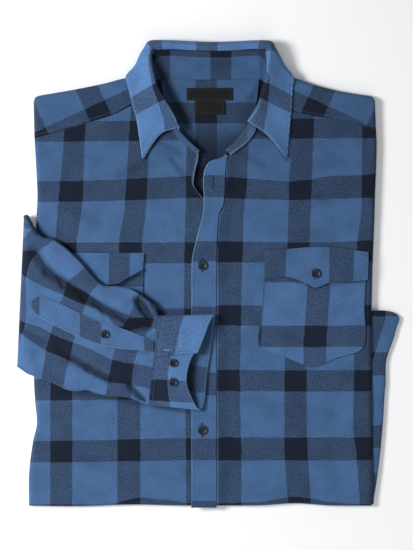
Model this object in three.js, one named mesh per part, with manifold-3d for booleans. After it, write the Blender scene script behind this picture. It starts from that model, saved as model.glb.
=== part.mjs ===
// A flannel shirt folded flat: long sleeved, lying on its back with its right sleeve across the front.
// Units are millimetres. X runs to the wearer's left, Y up to the collar, Z up from the floor it rests on.
import * as THREE from "three";
import { mergeVertices } from "three/addons/utils/BufferGeometryUtils.js";
import Module from "manifold-3d";

// Cloth
const CLOTH = 1.6; // one layer of flannel with the allowance of the layers below it
const PLACKET_CLOTH = 2.2; // a folded, stitched strip
const COLLAR_CLOTH = 2; // two layers and an interlining
const CUFF_CLOTH = 2.4;
const PATCH_CLOTH = 1.3; // pockets and the sleeve placket
const SEAM_GAP = 0.3;

// Heights of the folded body
const RIM_HEIGHT = 4.7; // where the front curls down to meet the folded back
const FRONT_TOP = 11;
const YOKE_RISE = 0.6;
const PLACKET_RISE = 2.4; // the front runs up over the button stand beside the placket
const PLACKET_SLOPE = 18;
const CURL_REACH = 6; // how far in from a folded edge the front starts to curl
const NECK_FLOOR = 4.4; // the folded back under the open neck
const NECK_SLOPE = 8;
const NECK_MARGIN = 18; // how far the inside of the yoke stays in from that hollow's edge
const NECK_BACK = 24.5; // and from its last row at the back
const TINY = 1e-6;
const WELD = 1e-4;

// Sleeve
const SLEEVE_HALF = 3.5; // half the height of the flattened tube
const SLEEVE_MIDDLE = 18.6; // height of the tube's middle over the front
const SLEEVE_STEPS = 12;

// Outlines of the pieces, one row for each measured place
const HEM = table("x y", [
  [-233, -300.9], [-166.4, -301.5], [-98.8, -299.5], [-23.4, -300.7], [10.4, -300.9],
  [70.2, -300.4], [113.1, -297.8], [158.6, -300.7], [212.9, -300.9],
]);
const SHOULDERS = table("x y", [
  [-227, 225.6], [-223.6, 231.4], [-201.5, 236], [-171.6, 241.2], [-133.9, 249], [-105.3, 256.1],
  [-62.4, 256.8], [5.2, 256.8], [67.6, 256.8], [110.5, 256.1], [140.4, 246.3], [171.6, 238.6],
  [195, 234.7], [213.2, 231.4], [217.4, 225.6],
]);
const BODY_SIDE_RIGHT = table("x y", [
  [-233, -300.9], [-232.7, -256.8], [-227.6, -216.5], [-222.7, -194.3], [-225.2, -163.2],
  [-226.7, -132], [-226.7, -72.2], [-225.7, 18.9], [-223.1, 78.7], [-222, 100.8], [-222.7, 121.5],
  [-224, 146.2], [-225.9, 178.8], [-227, 225.6],
]);
const BODY_SIDE_LEFT = table("x y", [
  [212.9, -300.9], [214.8, -256.8], [213.7, -202.2], [213.1, -120.2], [213.1, -46.8],
  [213.8, -11.1], [215.3, 35.8], [216.7, 70.9], [217.5, 100.1], [219.7, 165.8], [218.9, 186.6],
  [217.4, 225.6],
]);
const FRONT_RIGHT = {
  hem: table("x y", [
  [-233, -300.9], [-166.4, -301.5], [-98.8, -299.5], [-36.4, -300.7], [6.5, -300.9],
]),
  top: table("x y", [
  [-225.9, 176.7], [-205.8, 181.9], [-189.2, 187.7], [-164.3, 195.1], [-146, 200.1],
  [-121.2, 208.3], [-101.4, 218.3], [-79.3, 225.6], [-65, 221], [-57.2, 210], [-45.5, 188.5],
  [-26, 170.3], [-12.2, 158.5],
]),
  side: table("x y", [
  [-233, -300.9], [-232.7, -256.8], [-227.6, -216.5], [-222.7, -194.3], [-225.2, -163.2],
  [-226.7, -132], [-226.7, -72.2], [-225.7, 18.9], [-223.1, 78.7], [-222, 100.8], [-222.7, 121.5],
  [-224, 146.2], [-225.9, 176.7],
]),
  edge: table("x y", [
  [6.5, -300.9], [6.5, -163.2], [6.5, -33.1], [6.5, 64.4], [-2.6, 93], [-18.2, 115],
  [-17.6, 130.7], [-13.3, 148.8], [-12.2, 158.5],
]),
};
const FRONT_LEFT = {
  hem: table("x y", [
  [11.7, -300.9], [70.2, -300.4], [113.1, -297.8], [158.6, -300.7], [212.9, -300.9],
]),
  top: table("x y", [
  [77.4, 228.2], [111.8, 211.8], [146.9, 204], [170.3, 201.9], [192.4, 196.6], [218.9, 184.5],
]),
  side: table("x y", [
  [212.9, -300.9], [214.8, -256.8], [213.7, -202.2], [213.1, -120.2], [213.1, -46.8],
  [213.8, -11.1], [215.3, 35.8], [216.7, 70.9], [217.5, 100.1], [219.7, 165.8], [218.9, 184.5],
]),
  edge: table("x y", [
  [11.7, -300.9], [11.7, -163.2], [11.7, 12.3], [13.3, 59.1], [15.6, 78.7], [21.6, 94.2],
  [23.4, 128.1], [25.2, 148.8], [29.9, 158.6], [41.6, 165.8], [53.3, 174.2], [62.4, 187.8],
  [68.2, 203.5], [73.5, 217.8], [77.4, 228.2],
]),
};
const YOKE_RIGHT = {
  seam: table("x y", [
  [-225.9, 177.5], [-205.8, 182.7], [-189.2, 188.5], [-164.3, 195.9], [-146, 200.8],
  [-121.2, 209.2], [-101.4, 220.3], [-70.2, 231.4],
]),
  shoulder: table("x y", [
  [-227, 225.6], [-223.6, 231.4], [-201.5, 236], [-171.6, 241.2], [-133.9, 249], [-105.3, 256.1],
  [-85.8, 256.1],
]),
  side: table("x y", [
  [-225.9, 177.5], [-226.5, 200.8], [-227, 225.6],
]),
  neck: table("x y", [
  [-70.2, 231.4], [-74.8, 239.8], [-80, 247.7], [-85.8, 256.1],
]),
};
const YOKE_LEFT = {
  seam: table("x y", [
  [218.9, 185.2], [192.4, 197.3], [170.3, 202.7], [146.9, 204.8], [111.8, 212.6], [77.4, 229.5],
]),
  shoulder: table("x y", [
  [217.4, 225.6], [213.2, 231.4], [195, 234.7], [171.6, 238.6], [140.4, 246.3], [110.5, 256.1],
  [93.6, 256.1],
]),
  side: table("x y", [
  [218.9, 185.2], [218.1, 204.8], [217.4, 225.6],
]),
  neck: table("x y", [
  [77.4, 229.5], [81.2, 239.8], [86.5, 247.7], [93.6, 256.1],
]),
};
const PLACKET_EDGE = table("x y", [
  [-21.7, -302.9], [-21.7, -163.2], [-21.7, -33.1], [-21.1, 18.2], [-16.4, 41], [-11.8, 59.1],
  [-7.2, 76], [-5.5, 99.5], [-6.5, 120.2], [-4.7, 135.8], [0.5, 145], [7.2, 148.8], [16.2, 151.2],
  [23.4, 155.3],
]);
const PLACKET_SEAM = table("x y", [
  [11.2, -302.9], [11.2, -163.2], [11.2, 12.3], [12.5, 59.1], [14.8, 79.3], [20.5, 93],
  [22.5, 128.1], [24.2, 148.2], [25.5, 154.6],
]);

// Neck: half width and middle of the opening at each height
const NECK_OPENING = table("y half mid", [
  [278.9, 83.2, 2.6], [254.2, 81.9, 2.6], [232.1, 79.3, 3.2], [213.8, 75.4, 3.9], [190.5, 65, 6.5],
  [167.1, 49.4, 5.2], [148.8, 35.1, -2.6], [125.5, 29.2, -6.5], [99.5, 23.4, -5.2],
  [81.2, 11.7, -2.6],
]);

// Pockets and flaps: left and right ends, or top and bottom ends, of each row
const POCKET_LEFT = table("lx ly rx ry", [
  [73.6, 16.2, 208, 16.2], [72.8, -9.8, 205.4, -11.8], [69.5, -54, 203.8, -41.7],
  [67.6, -94.2, 202, -94.9], [101.4, -108, 169, -108], [131.3, -120, 139.1, -120],
]);
const POCKET_RIGHT = table("lx ly rx ry", [
  [-215.8, 11.1, -83.6, 11.1], [-214.5, -12.3, -83.5, -12.3], [-213.8, -46.1, -85.2, -46.1],
  [-213.2, -94.2, -87.1, -94.2], [-182, -108.5, -118.3, -108.5], [-153.4, -120.2, -146.9, -120.2],
]);
const FLAP_LEFT = table("tx ty bx by", [
  [73.3, 32.5, 73.3, -7.2], [87.1, 32.5, 87.8, -4], [101.9, 33.1, 102.4, -3],
  [114.4, 34.2, 114.4, -6.1], [128.1, 35.5, 128.1, -11.3], [137.8, 35.8, 138.5, -17],
  [149.1, 35.8, 149.1, -14.2], [157.8, 35.8, 157.8, -10.5], [171.6, 34.5, 171.6, -9.6],
  [189.8, 31.9, 189.8, -9], [208.8, 29.2, 207.6, -6.9],
]);
const FLAP_RIGHT = table("tx ty bx by", [
  [-217.1, 28.2, -215.8, -8.5], [-195, 28.2, -193.7, -11.1], [-172.9, 28.2, -169, -13.7],
  [-150.8, 28.2, -149.5, -20.2], [-140.4, 28.2, -139.1, -15], [-127.4, 28.2, -127.4, -13.7],
  [-117, 28.2, -117, -12.3], [-104, 28.2, -104, -4.5], [-93.6, 28.2, -93.6, 1.3],
  [-82.4, 28.2, -84.5, 6.2],
]);

// Collar stand: neck seam (n) and top edge (t), from the right end round the back to the left end
const STAND = table("nx ny nz tx ty tz", [
  [-14, 156.7, 12.6, -11.2, 160.3, 13.8], [-29.9, 169.9, 12.6, -25.7, 173.6, 15.4],
  [-45.2, 185.2, 12.7, -39.8, 189.4, 17], [-57.7, 209.3, 12.8, -48.6, 203.5, 17.2],
  [-65.7, 225.6, 12.9, -57.7, 222.2, 18.8], [-70.2, 239.8, 12.2, -65.7, 241.8, 19.5],
  [-69.7, 249.5, 10.6, -69.5, 256.8, 20], [-65, 253.6, 8.8, -71.8, 269.8, 20],
  [-57.2, 254.5, 7.8, -72.8, 282.8, 19.6], [-46.8, 254.8, 7.7, -66.3, 289.8, 19.2],
  [-31.2, 254.3, 7.7, -46.8, 291.9, 17.4], [-13, 253.8, 7.7, -22.1, 290.3, 18],
  [5.2, 253.6, 7.7, 5.2, 289.5, 18], [23.4, 253.9, 7.7, 32.5, 290, 18],
  [41.6, 254.4, 7.7, 57.2, 292, 17.4], [54.6, 254.8, 7.7, 71.5, 291.3, 19.2],
  [63.7, 254.8, 8, 75.7, 282.8, 19.6], [70.9, 252.9, 9.4, 75.9, 269.8, 20],
  [74.8, 247, 11, 74.6, 255.5, 20], [74.6, 238.6, 12.4, 71.2, 241.8, 19.5],
  [71.5, 226.8, 12.9, 67.1, 228.7, 19.6], [67.3, 212.6, 12.9, 61.4, 215.2, 18.4],
  [62.4, 197.6, 12.8, 54.3, 204.2, 17.2], [57.2, 186, 12.7, 47.6, 193.1, 17.2],
  [48.1, 174.1, 12.6, 39, 178.8, 15.8], [35.1, 164.2, 12.6, 30.7, 167.1, 14.4],
]);

// Collar leaf: roll (r), middle (m) and edge (l), from the right point round to the left point;
// lift is how far its seam stands over the stand's edge
const LEAF = table("rx ry rz mx my mz lx ly lz lift", [
  [-34.3, 190.5, 20.6, -61.1, 183.6, 16, -84.5, 150.2, 13.4, 0.6],
  [-42.9, 205, 22, -67.6, 196.2, 16.8, -88.4, 177.5, 13.4, 0.6],
  [-51.5, 219.6, 23.2, -73.3, 211.2, 17.4, -92.3, 202.8, 13.5, 0.6],
  [-59, 232.8, 24, -78.5, 225, 18, -96.7, 217.1, 13.5, 0.6],
  [-66.3, 246.3, 24.6, -83.2, 239.3, 18.2, -100.1, 231.3, 13.5, 0.6],
  [-69.7, 258.6, 25, -86.6, 252.3, 18.2, -103.2, 244.5, 13.4, 0.6],
  [-72.8, 271.8, 25, -89.2, 266.4, 17.6, -105.6, 258.3, 13.2, 0.6],
  [-74.9, 283.8, 24.8, -89.2, 280.7, 16.6, -92.3, 270.4, 4, 0.6],
  [-75.9, 292.6, 24, -84, 291.3, 13, -79.3, 278.2, 2, 0.6],
  [-72.3, 299.1, 22.4, -74.9, 302.2, 12, -67.6, 280.8, 1.6, 0.6],
  [-48.1, 298.9, 21.6, -48.9, 302.8, 12, -46.8, 280.2, 1.5, 0.6],
  [-22.6, 297.8, 21.4, -22.6, 301.6, 12, -23.4, 278.2, 1.5, 0.6],
  [4.7, 297.1, 21.4, 4.7, 300.6, 12, 3.9, 277.6, 1.5, 0.6],
  [32.5, 297.6, 21.4, 33.3, 301.3, 12, 32.5, 278.2, 1.5, 0.6],
  [59.3, 298.9, 21.6, 60.6, 302.5, 12, 58.5, 280.2, 1.5, 1.2],
  [78.8, 298.9, 22.4, 81.4, 301.5, 12, 72.8, 280.8, 1.6, 1.2],
  [81.1, 292.6, 24, 88.9, 290.6, 13, 83.2, 278.2, 2, 0.6],
  [79.8, 283.8, 24.8, 94.4, 279.4, 16.6, 97.5, 270.4, 4, 0.6],
  [77.2, 271.6, 25, 94.9, 266.1, 17.6, 110, 258.1, 13.2, 0.6],
  [75.9, 258.3, 25, 93.6, 252.1, 18.2, 109.5, 244.3, 13.4, 0.6],
  [72.8, 244.3, 24.6, 91, 238.3, 18.2, 108.7, 230.8, 13.5, 1.6],
  [68.4, 230, 24, 88.4, 223.5, 18, 107.9, 216.5, 13.5, 1.6],
  [63.7, 217, 23.8, 84.5, 208.7, 17.4, 106.3, 200.8, 13.5, 1.6],
  [56.4, 205.3, 22.4, 81.4, 194.3, 16.8, 104.3, 178.8, 13.4, 1.6],
  [51.7, 198.8, 21, 75.4, 183.2, 16, 102.6, 151.5, 13.4, 1.6],
]);

// Sleeve: its outline as laid, and its folds as troughs from a to b
const SLEEVE_TOP = table("x y", [
  [-239.2, 76.7], [-231.4, 71.5], [-224.9, 61.8], [-218.7, 51.4], [-210.6, 48.8], [-201.8, 46.1],
  [-191.9, 41.3], [-175.9, 27.4], [-165.1, 17.6], [-153, 3.2], [-142.1, -8.7], [-135.2, -13.7],
  [-120.9, -14.7], [-99.5, -18.5], [-88.7, -25.4], [-73.6, -34.1], [-67.2, -43.6], [-63.7, -54],
]);
const SLEEVE_BOTTOM = table("x y", [
  [-247.8, -118.3], [-238.6, -125.5], [-227.6, -132], [-217.1, -134], [-206.7, -138.5],
  [-191.1, -145.5], [-180.7, -150.2], [-171, -151.5], [-156, -150.4], [-136.1, -156.4],
  [-114.4, -159.2], [-97.5, -160.9], [-84.5, -166.3], [-76.7, -169.1],
]);
const SLEEVE_FOLD = table("x y", [
  [-239.2, 76.7], [-241, 46.1], [-244, 26.7], [-244.8, 5.9], [-244.4, -20.2], [-242.6, -39],
  [-245.6, -55.2], [-246.5, -77.4], [-247, -96.9], [-247.8, -118.3],
]);
const CUFF_SEAM = table("x y", [
  [-63.7, -54], [-67.3, -72.2], [-68.9, -85.8], [-71.1, -99.5], [-73.3, -119], [-75.1, -137.2],
  [-76.7, -169.1],
]);
const SLEEVE_FOLDS = table("ax ay bx by depth width", [
  [-223.6, 27.9, -184.6, -11.1, 1.8, 9], [-184.6, -11.1, -131.3, -42.2, 2, 9],
  [-131.3, -42.2, -79.3, -61.8, 2.2, 9], [-182, -106, -131.3, -130.7, 1, 8],
  [-244.4, -61.8, -205.4, -74.8, 0.9, 8], [-113.1, -69.5, -70.2, -63.1, 1.6, 8],
]);

// How the tube turns round the body's side: distance in from the fold, height, half thickness
const SLEEVE_TURN = table("in z half", [
  [13.5, 2.9, 2.3], [9, 3.2, 2.5], [4.8, 6.4, 2.9], [3.5, 11.4, 3.1], [5.2, 15.8, 3.3], [9.6, 18.1, 3.4],
  [16, 18.6, 3.5],
]);

// Sleeve placket: upper (u) and lower (l) edge, from its point to the cuff
const SLEEVE_PLACKET = table("ux uy lx ly", [
  [-228.3, -33.1, -229.6, -37.6], [-218.7, -27.9, -224.9, -48.8], [-210.6, -30, -213.8, -57.3],
  [-191.1, -38, -196.3, -67.3], [-165.1, -50.1, -170.3, -79.4], [-135.2, -63.1, -140.4, -90.4],
  [-114.4, -68.8, -115.7, -95.8], [-96.2, -75.3, -92.3, -97.9], [-69.4, -85.8, -71, -100.2],
]);

// Cuff: seam end (s) and mouth end (m) of each line, from the overlap round to the underlap
const CUFF = table("sx sy sz mx my mz", [
  [-68.9, -106, 25.4, -14, -100.8, 27.6], [-65.8, -78.7, 25.4, -4.7, -77.4, 28],
  [-63.8, -60.5, 24.6, 1.8, -60.5, 26.2], [-62.9, -54, 21, 7.3, -52.4, 21.4],
  [-63.4, -58.6, 17.2, 7, -59.1, 17], [-67.3, -91.7, 16.2, 2.6, -95.5, 16.2],
  [-71.2, -126.8, 16.2, -2.1, -129.3, 16.2], [-75.3, -162.6, 17, -5.7, -163.9, 17.2],
  [-75.8, -169.1, 19.6, -11.4, -175.1, 20.4], [-75.3, -163.2, 22.4, -17.9, -167.6, 24.2],
  [-72.5, -138.5, 22.4, -28.3, -139.8, 26.2], [-69.9, -115, 22.4, -24.2, -112.5, 26],
  [-67.2, -90.4, 22.4, -13, -91.7, 24.6],
]);

// Left sleeve: the fold that shows beside the body
const SLEEVE_LEFT_EDGE = table("x y", [
  [215.8, -47.5], [231.4, -47.8], [243.1, -51.2], [248.6, -57.2], [244.9, -69.5], [241.3, -82.5],
  [231.4, -112.5], [230.6, -142.3], [229.3, -155.3], [227.4, -189.2], [226.2, -202.8],
  [222.2, -243.8], [218.3, -272.4],
]);

// Buttons: centre, height of the cloth below, radius
const BUTTONS = table("x y z radius", [
  [-7.2, 11.8, 13.8, 6.1], [-7.4, -201.9, 13.8, 6.1], [139.9, 1.3, 14.8, 6.1], [-133.6, -77.2, 24.1, 5.4],
  [-44.6, -114.3, 26.1, 5.4], [-45, -139, 26.4, 5.4],
]);
const BUTTON_NAMES = [
  "front_upper", "front_lower", "flap_left", "sleeve_placket", "cuff_upper", "cuff_lower",
];
const BUTTON_THICK = 2.6;
const BUTTON_SIDES = 14;
const BUTTON_HOLE = 0.9;
const BUTTON_HOLE_OUT = 1.5;

// Labels: centre, size, and height of the back neck they lie on
const LABEL = { x: 2.2, y: 234.4, width: 59.8, depth: 16.1, z: 6.8 };
const SIZE_LABEL = { x: 2.6, y: 216.8, width: 39, depth: 18, z: 6.8 };
const LABEL_THICK = 1;

function table(names, rows) {
  const columns = names.split(" ");
  return rows.map((row) => Object.fromEntries(columns.map((name, i) => [name, row[i]])));
}

const distance = (a, b) => Math.hypot(...a.map((value, k) => value - b[k]));

// A smooth line through a table's rows, as a function of 0 to 1 along its length
function lineThrough(rows, names) {
  return curveThrough(rows.map((row) => names.map((name) => row[name])));
}

function curveThrough(points) {
  const at = [0];
  for (let i = 1; i < points.length; i += 1) {
    at.push(at[i - 1] + distance(points[i], points[i - 1]));
  }
  const slope = points.map((point, i) => {
    const before = Math.max(i - 1, 0);
    const after = Math.min(i + 1, points.length - 1);
    return point.map((_, k) => (points[after][k] - points[before][k]) / (at[after] - at[before]));
  });
  return (part) => {
    const s = Math.min(Math.max(part, 0), 1) * at.at(-1);
    let i = 0;
    while (i < points.length - 2 && s > at[i + 1]) i += 1;
    const span = at[i + 1] - at[i];
    const t = (s - at[i]) / span;
    const end = 3 * t ** 2 - 2 * t ** 3;
    const leave = (t ** 3 - 2 * t ** 2 + t) * span;
    const arrive = (t ** 3 - t ** 2) * span;
    return points[i].map((value, k) => {
      const straight = value + (points[i + 1][k] - value) * end;
      return straight + leave * slope[i][k] + arrive * slope[i + 1][k];
    });
  };
}

const plan = (rows) => lineThrough(rows, ["x", "y"]);
const clamp = (value) => Math.min(Math.max(value, 0), 1);
const ease = (value) => clamp(value) ** 2 * (3 - 2 * clamp(value));
const mix = (a, b, t) => a.map((value, i) => value + (b[i] - value) * t);

// A value read from a table against one of its columns
function lookUp(rows, key, name, value) {
  const rising = rows.at(-1)[key] > rows[0][key] ? 1 : -1;
  let i = 0;
  while (i < rows.length - 2 && (value - rows[i + 1][key]) * rising > 0) i += 1;
  const t = clamp((value - rows[i][key]) / (rows[i + 1][key] - rows[i][key]));
  return rows[i][name] + (rows[i + 1][name] - rows[i][name]) * t;
}

// The part of a line that lies nearest to a point
function nearest(line, point) {
  const tries = 1000;
  let best = 0;
  for (let i = 1; i <= tries; i += 1) {
    if (distance(line(i / tries), point) < distance(line(best), point)) best = i / tries;
  }
  return best;
}

// A patch of the plan between four lines: bottom and top run alike, and so do left and right
function patch(bottom, top, left, right) {
  const corners = [bottom(0), bottom(1), top(0), top(1)];
  return (u, v) => {
    const across = mix(bottom(u), top(u), v);
    const along = mix(left(v), right(v), u);
    const flat = mix(mix(corners[0], corners[1], u), mix(corners[2], corners[3], u), v);
    return across.map((value, i) => value + along[i] - flat[i]);
  };
}

// Places from 0 to 1 across a length: the given distances in from each end, then even steps
function places(length, startIn, steps, endIn) {
  const first = startIn.map((d) => d / length);
  const last = endIn.map((d) => 1 - d / length).reverse();
  const from = first.at(-1);
  const to = last[0];
  const between = Array.from({ length: steps - 1 }, (_, i) => from + ((to - from) * (i + 1)) / steps);
  return [...first, ...between, ...last];
}

// The same, with a number of its own steps up to each share of the length
function gridPlaces(length, edgeIn, spans) {
  const ends = places(length, edgeIn, 1, edgeIn);
  const list = ends.slice(0, edgeIn.length);
  spans.forEach(([share, steps]) => {
    const from = list.at(-1);
    const to = share === 1 ? ends[edgeIn.length] : share;
    for (let i = 1; i <= steps; i += 1) list.push(from + ((to - from) * i) / steps);
  });
  return [...list, ...ends.slice(edgeIn.length + 1)];
}

function solid(points, faces) {
  const geometry = new THREE.BufferGeometry();
  geometry.setAttribute("position", new THREE.Float32BufferAttribute(points.flat(), 3));
  geometry.setIndex(faces.flat());
  return geometry;
}

// Two faces for each cell of a grid of rows; a closed grid joins its last column to its first
function gridFaces(rows, columns, start, flip, closed) {
  const faces = [];
  const cells = closed ? columns : columns - 1;
  for (let i = 0; i < rows - 1; i += 1) {
    for (let j = 0; j < cells; j += 1) {
      const next = (j + 1) % columns;
      const a = start + i * columns + j;
      const b = start + i * columns + next;
      const c = start + (i + 1) * columns + next;
      const d = start + (i + 1) * columns + j;
      faces.push(...(flip ? [[a, c, b], [a, d, c]] : [[a, b, c], [a, c, d]]));
    }
  }
  return faces;
}

// Numbers of a grid's outer points, in order round it
function rimOf(rows, columns) {
  const rim = [];
  for (let j = 0; j < columns - 1; j += 1) rim.push(j);
  for (let i = 0; i < rows - 1; i += 1) rim.push(i * columns + columns - 1);
  for (let j = columns - 1; j > 0; j -= 1) rim.push((rows - 1) * columns + j);
  for (let i = rows - 1; i > 0; i -= 1) rim.push(i * columns);
  return rim;
}

// A cloth wall: a grid of points on its outside, and the same grid moved in along the normals
function wall(grid, thick, share = 1, floor = -Infinity) {
  const rows = grid.length;
  const columns = grid[0].length;
  const within = (value, last) => Math.min(Math.max(value, 0), last);
  const at = (i, j) => new THREE.Vector3(...grid[within(i, rows - 1)][within(j, columns - 1)]);
  const normal = (i, j) => {
    const across = at(i, j + 1).sub(at(i, j - 1));
    const along = at(i + 1, j).sub(at(i - 1, j));
    return across.cross(along).normalize().toArray();
  };
  const outside = [];
  const inside = [];
  grid.forEach((row, i) => row.forEach((point, j) => {
    const n = normal(i, j);
    outside.push(point.map((value, k) => value + n[k] * thick * (1 - share)));
    const inner = point.map((value, k) => value - n[k] * thick * share);
    inner[2] = Math.max(inner[2], Math.min(point[2], floor));
    inside.push(inner);
  }));
  const count = outside.length;
  const faces = [...gridFaces(rows, columns, 0, false), ...gridFaces(rows, columns, count, true)];
  const rim = rimOf(rows, columns);
  rim.forEach((a, k) => {
    const b = rim[(k + 1) % rim.length];
    faces.push([a, a + count, b + count], [a, b + count, b]);
  });
  return solid([...outside, ...inside], faces);
}

// How far the front has fallen at a distance in from a folded edge
function curl(inset) {
  const fall = FRONT_TOP - RIM_HEIGHT;
  const out = clamp(1 - inset / CURL_REACH);
  return fall * (1 - Math.sqrt(1 - out ** 2));
}

// Distance of a point of the plan from the nearer side fold
function sideDistance(x, y) {
  const right = lookUp(BODY_SIDE_RIGHT, "y", "x", y);
  const left = lookUp(BODY_SIDE_LEFT, "y", "x", y);
  return Math.max(Math.min(x - right, left - x), 0);
}

// The left front runs up over the button stand beside the placket
function climb(x, y) {
  const seam = lookUp(PLACKET_SEAM, "y", "x", y);
  return x < seam ? 0 : PLACKET_RISE * (1 - ease((x - seam) / PLACKET_SLOPE));
}

// The front's top at a point of the plan
function frontTop(x, y) {
  return FRONT_TOP + climb(x, y) - curl(sideDistance(x, y));
}

// A cloth panel over a patch of the plan
function panel(shape, us, vs, height, thick) {
  const grid = vs.map((v) => us.map((u) => {
    const [x, y] = shape(u, v);
    return [x, y, height(u, v, x, y)];
  }));
  return wall(grid, thick, 1, RIM_HEIGHT);
}

// Strips between two edges: each row of the table is one section across
function ladder(rows, names, steps, across, height, thick) {
  const [ax, ay, bx, by] = names;
  const first = lineThrough(rows, [ax, ay]);
  const second = lineThrough(rows, [bx, by]);
  const shape = (u, v) => mix(first(v), second(v), u);
  return panel(shape, places(1, [0], across, [0]), places(1, [0], steps, [0]), height, thick);
}

// Folded back: one rounded solid with a layered rim, hollowed under the open neck
const BODY_WIDTH = 445;
const BODY_LENGTH = 540;
const CORE_RIM = table("in z", [[2.5, 0], [0.7, 1], [1.3, 2], [0.4, 3], [0.6, 4.3]]);
const CORE_TOP = table("in z", [
  [4.4, 4.4], [5, 6], [6.3, 7.3], [8, 8.3], [10.8, 9],
]);

// Steps of its grid up to each share of the width and of the length: finer round the neck
const CORE_COLUMNS = [[0.35, 7], [0.71, 15], [1, 6]];
const CORE_ROWS = [[0.74, 9], [1, 11]];

function neckDip(x, y) {
  if (y < NECK_OPENING.at(-1).y) return 0;
  const half = lookUp(NECK_OPENING, "y", "half", y);
  const middle = lookUp(NECK_OPENING, "y", "mid", y);
  return ease((half - Math.abs(x - middle)) / NECK_SLOPE);
}

function coreTop(x, y, inset) {
  const closed = lookUp(CORE_TOP, "in", "z", inset);
  return closed + (NECK_FLOOR - closed) * neckDip(x, y);
}

function foldedBody() {
  const shape = patch(plan(HEM), plan(SHOULDERS), plan(BODY_SIDE_RIGHT), plan(BODY_SIDE_LEFT));
  const insets = CORE_TOP.map((row) => row.in);
  const us = gridPlaces(BODY_WIDTH, insets, CORE_COLUMNS);
  const vs = gridPlaces(BODY_LENGTH, insets, CORE_ROWS);
  const points = [];
  vs.forEach((v) => us.forEach((u) => {
    const inset = Math.min(Math.min(u, 1 - u) * BODY_WIDTH, Math.min(v, 1 - v) * BODY_LENGTH);
    const [x, y] = shape(u, v);
    points.push([x, y, coreTop(x, y, inset)]);
  }));
  const faces = gridFaces(vs.length, us.length, 0, false);
  let rim = rimOf(vs.length, us.length);
  const borders = rim.map((k) => ({ u: us[k % us.length], v: vs[Math.floor(k / us.length)] }));
  const edge = insets[0];
  [...CORE_RIM].reverse().forEach((row) => {
    const start = points.length;
    const out = (value, length) => {
      if (value * length <= edge + TINY) return row.in / length;
      if ((1 - value) * length <= edge + TINY) return 1 - row.in / length;
      return value;
    };
    borders.forEach(({ u, v }) => {
      const [x, y] = shape(out(u, BODY_WIDTH), out(v, BODY_LENGTH));
      points.push([x, y, row.z]);
    });
    const next = borders.map((_, k) => start + k);
    next.forEach((a, k) => {
      const b = next[(k + 1) % next.length];
      const c = rim[(k + 1) % rim.length];
      faces.push([rim[k], a, b], [rim[k], b, c]);
    });
    rim = next;
  });
  const outline = rim.map((k) => new THREE.Vector2(points[k][0], points[k][1]));
  const bottom = THREE.ShapeUtils.triangulateShape(outline, []);
  bottom.forEach(([a, b, c]) => faces.push([rim[a], rim[c], rim[b]]));
  return solid(points, faces);
}

// Fronts: from the hem up to the yoke seam and the neck
const FRONT_LENGTH = 478;
const FRONT_RIGHT_WIDTH = 233;
const FRONT_LEFT_WIDTH = 201;
const CURL_PLACES = [0, 0.4, 1.6, 3.4, CURL_REACH];

function frontRight() {
  const { hem, top, side, edge } = FRONT_RIGHT;
  const us = places(FRONT_RIGHT_WIDTH, CURL_PLACES, 9, [0]);
  const vs = places(FRONT_LENGTH, CURL_PLACES, 14, [0]);
  const height = (u, v) => FRONT_TOP - Math.max(curl(u * FRONT_RIGHT_WIDTH), curl(v * FRONT_LENGTH));
  return panel(patch(plan(hem), plan(top), plan(side), plan(edge)), us, vs, height, CLOTH);
}

function frontLeft() {
  const { hem, top, side, edge } = FRONT_LEFT;
  const us = places(FRONT_LEFT_WIDTH, [0, 6, 12, PLACKET_SLOPE], 7, CURL_PLACES);
  const vs = places(FRONT_LENGTH, CURL_PLACES, 14, [0]);
  const height = (u, v, x, y) => {
    const fall = Math.max(curl((1 - u) * FRONT_LEFT_WIDTH), curl(v * FRONT_LENGTH));
    return FRONT_TOP + climb(x, y) - fall;
  };
  return panel(patch(plan(hem), plan(top), plan(edge), plan(side)), us, vs, height, CLOTH);
}

// Yoke: over each shoulder to the front seam, and the stretch that shows inside the neck
const YOKE_WIDTH = 150;
const YOKE_DEPTH = 44;

function yokeFront({ seam, shoulder, side, neck }, mirrored) {
  const us = places(YOKE_WIDTH, CURL_PLACES, 7, [0]);
  const vs = places(YOKE_DEPTH, [0], 2, CURL_PLACES);
  const shape = patch(plan(seam), plan(shoulder), plan(side), plan(neck));
  const rise = (v) => YOKE_RISE * (1 - v);
  const height = (u, v) => FRONT_TOP + rise(v) - Math.max(curl(u * YOKE_WIDTH), curl((1 - v) * YOKE_DEPTH));
  const columns = mirrored ? [...us].reverse() : us;
  return panel(shape, columns, vs, height, CLOTH);
}

function yokeInside() {
  const rows = NECK_OPENING.filter((row) => row.half > NECK_MARGIN + NECK_SLOPE);
  const half = (y) => lookUp(NECK_OPENING, "y", "half", y) - NECK_MARGIN;
  const middle = (y) => lookUp(NECK_OPENING, "y", "mid", y);
  const from = rows.at(-1).y;
  const to = rows[0].y - NECK_BACK;
  const shape = (u, v) => {
    const y = from + (to - from) * v;
    return [middle(y) + half(y) * (2 * u - 1), y];
  };
  const us = places(1, [0], 6, [0]);
  const height = () => NECK_FLOOR + SEAM_GAP + CLOTH;
  return panel(shape, us, places(1, [0], 8, [0]), height, CLOTH);
}

// Placket: laid on the right front's button stand, its top runs on round the neck
const PLACKET_LENGTH = 465;
const PLACKET_CURL_START = 1.6; // its thick hem end curls less far than the fronts do

function placket() {
  const edge = plan(PLACKET_EDGE);
  const seam = plan(PLACKET_SEAM);
  const us = places(1, [0], 3, [0]);
  const vs = places(PLACKET_LENGTH, [0, 2, 5], 26, [0]);
  const shape = (u, v) => mix(edge(v), seam(v), u);
  const height = (u, v) => FRONT_TOP + SEAM_GAP + PLACKET_CLOTH - curl(v * PLACKET_LENGTH + PLACKET_CURL_START);
  return panel(shape, us, vs, height, PLACKET_CLOTH);
}

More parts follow.
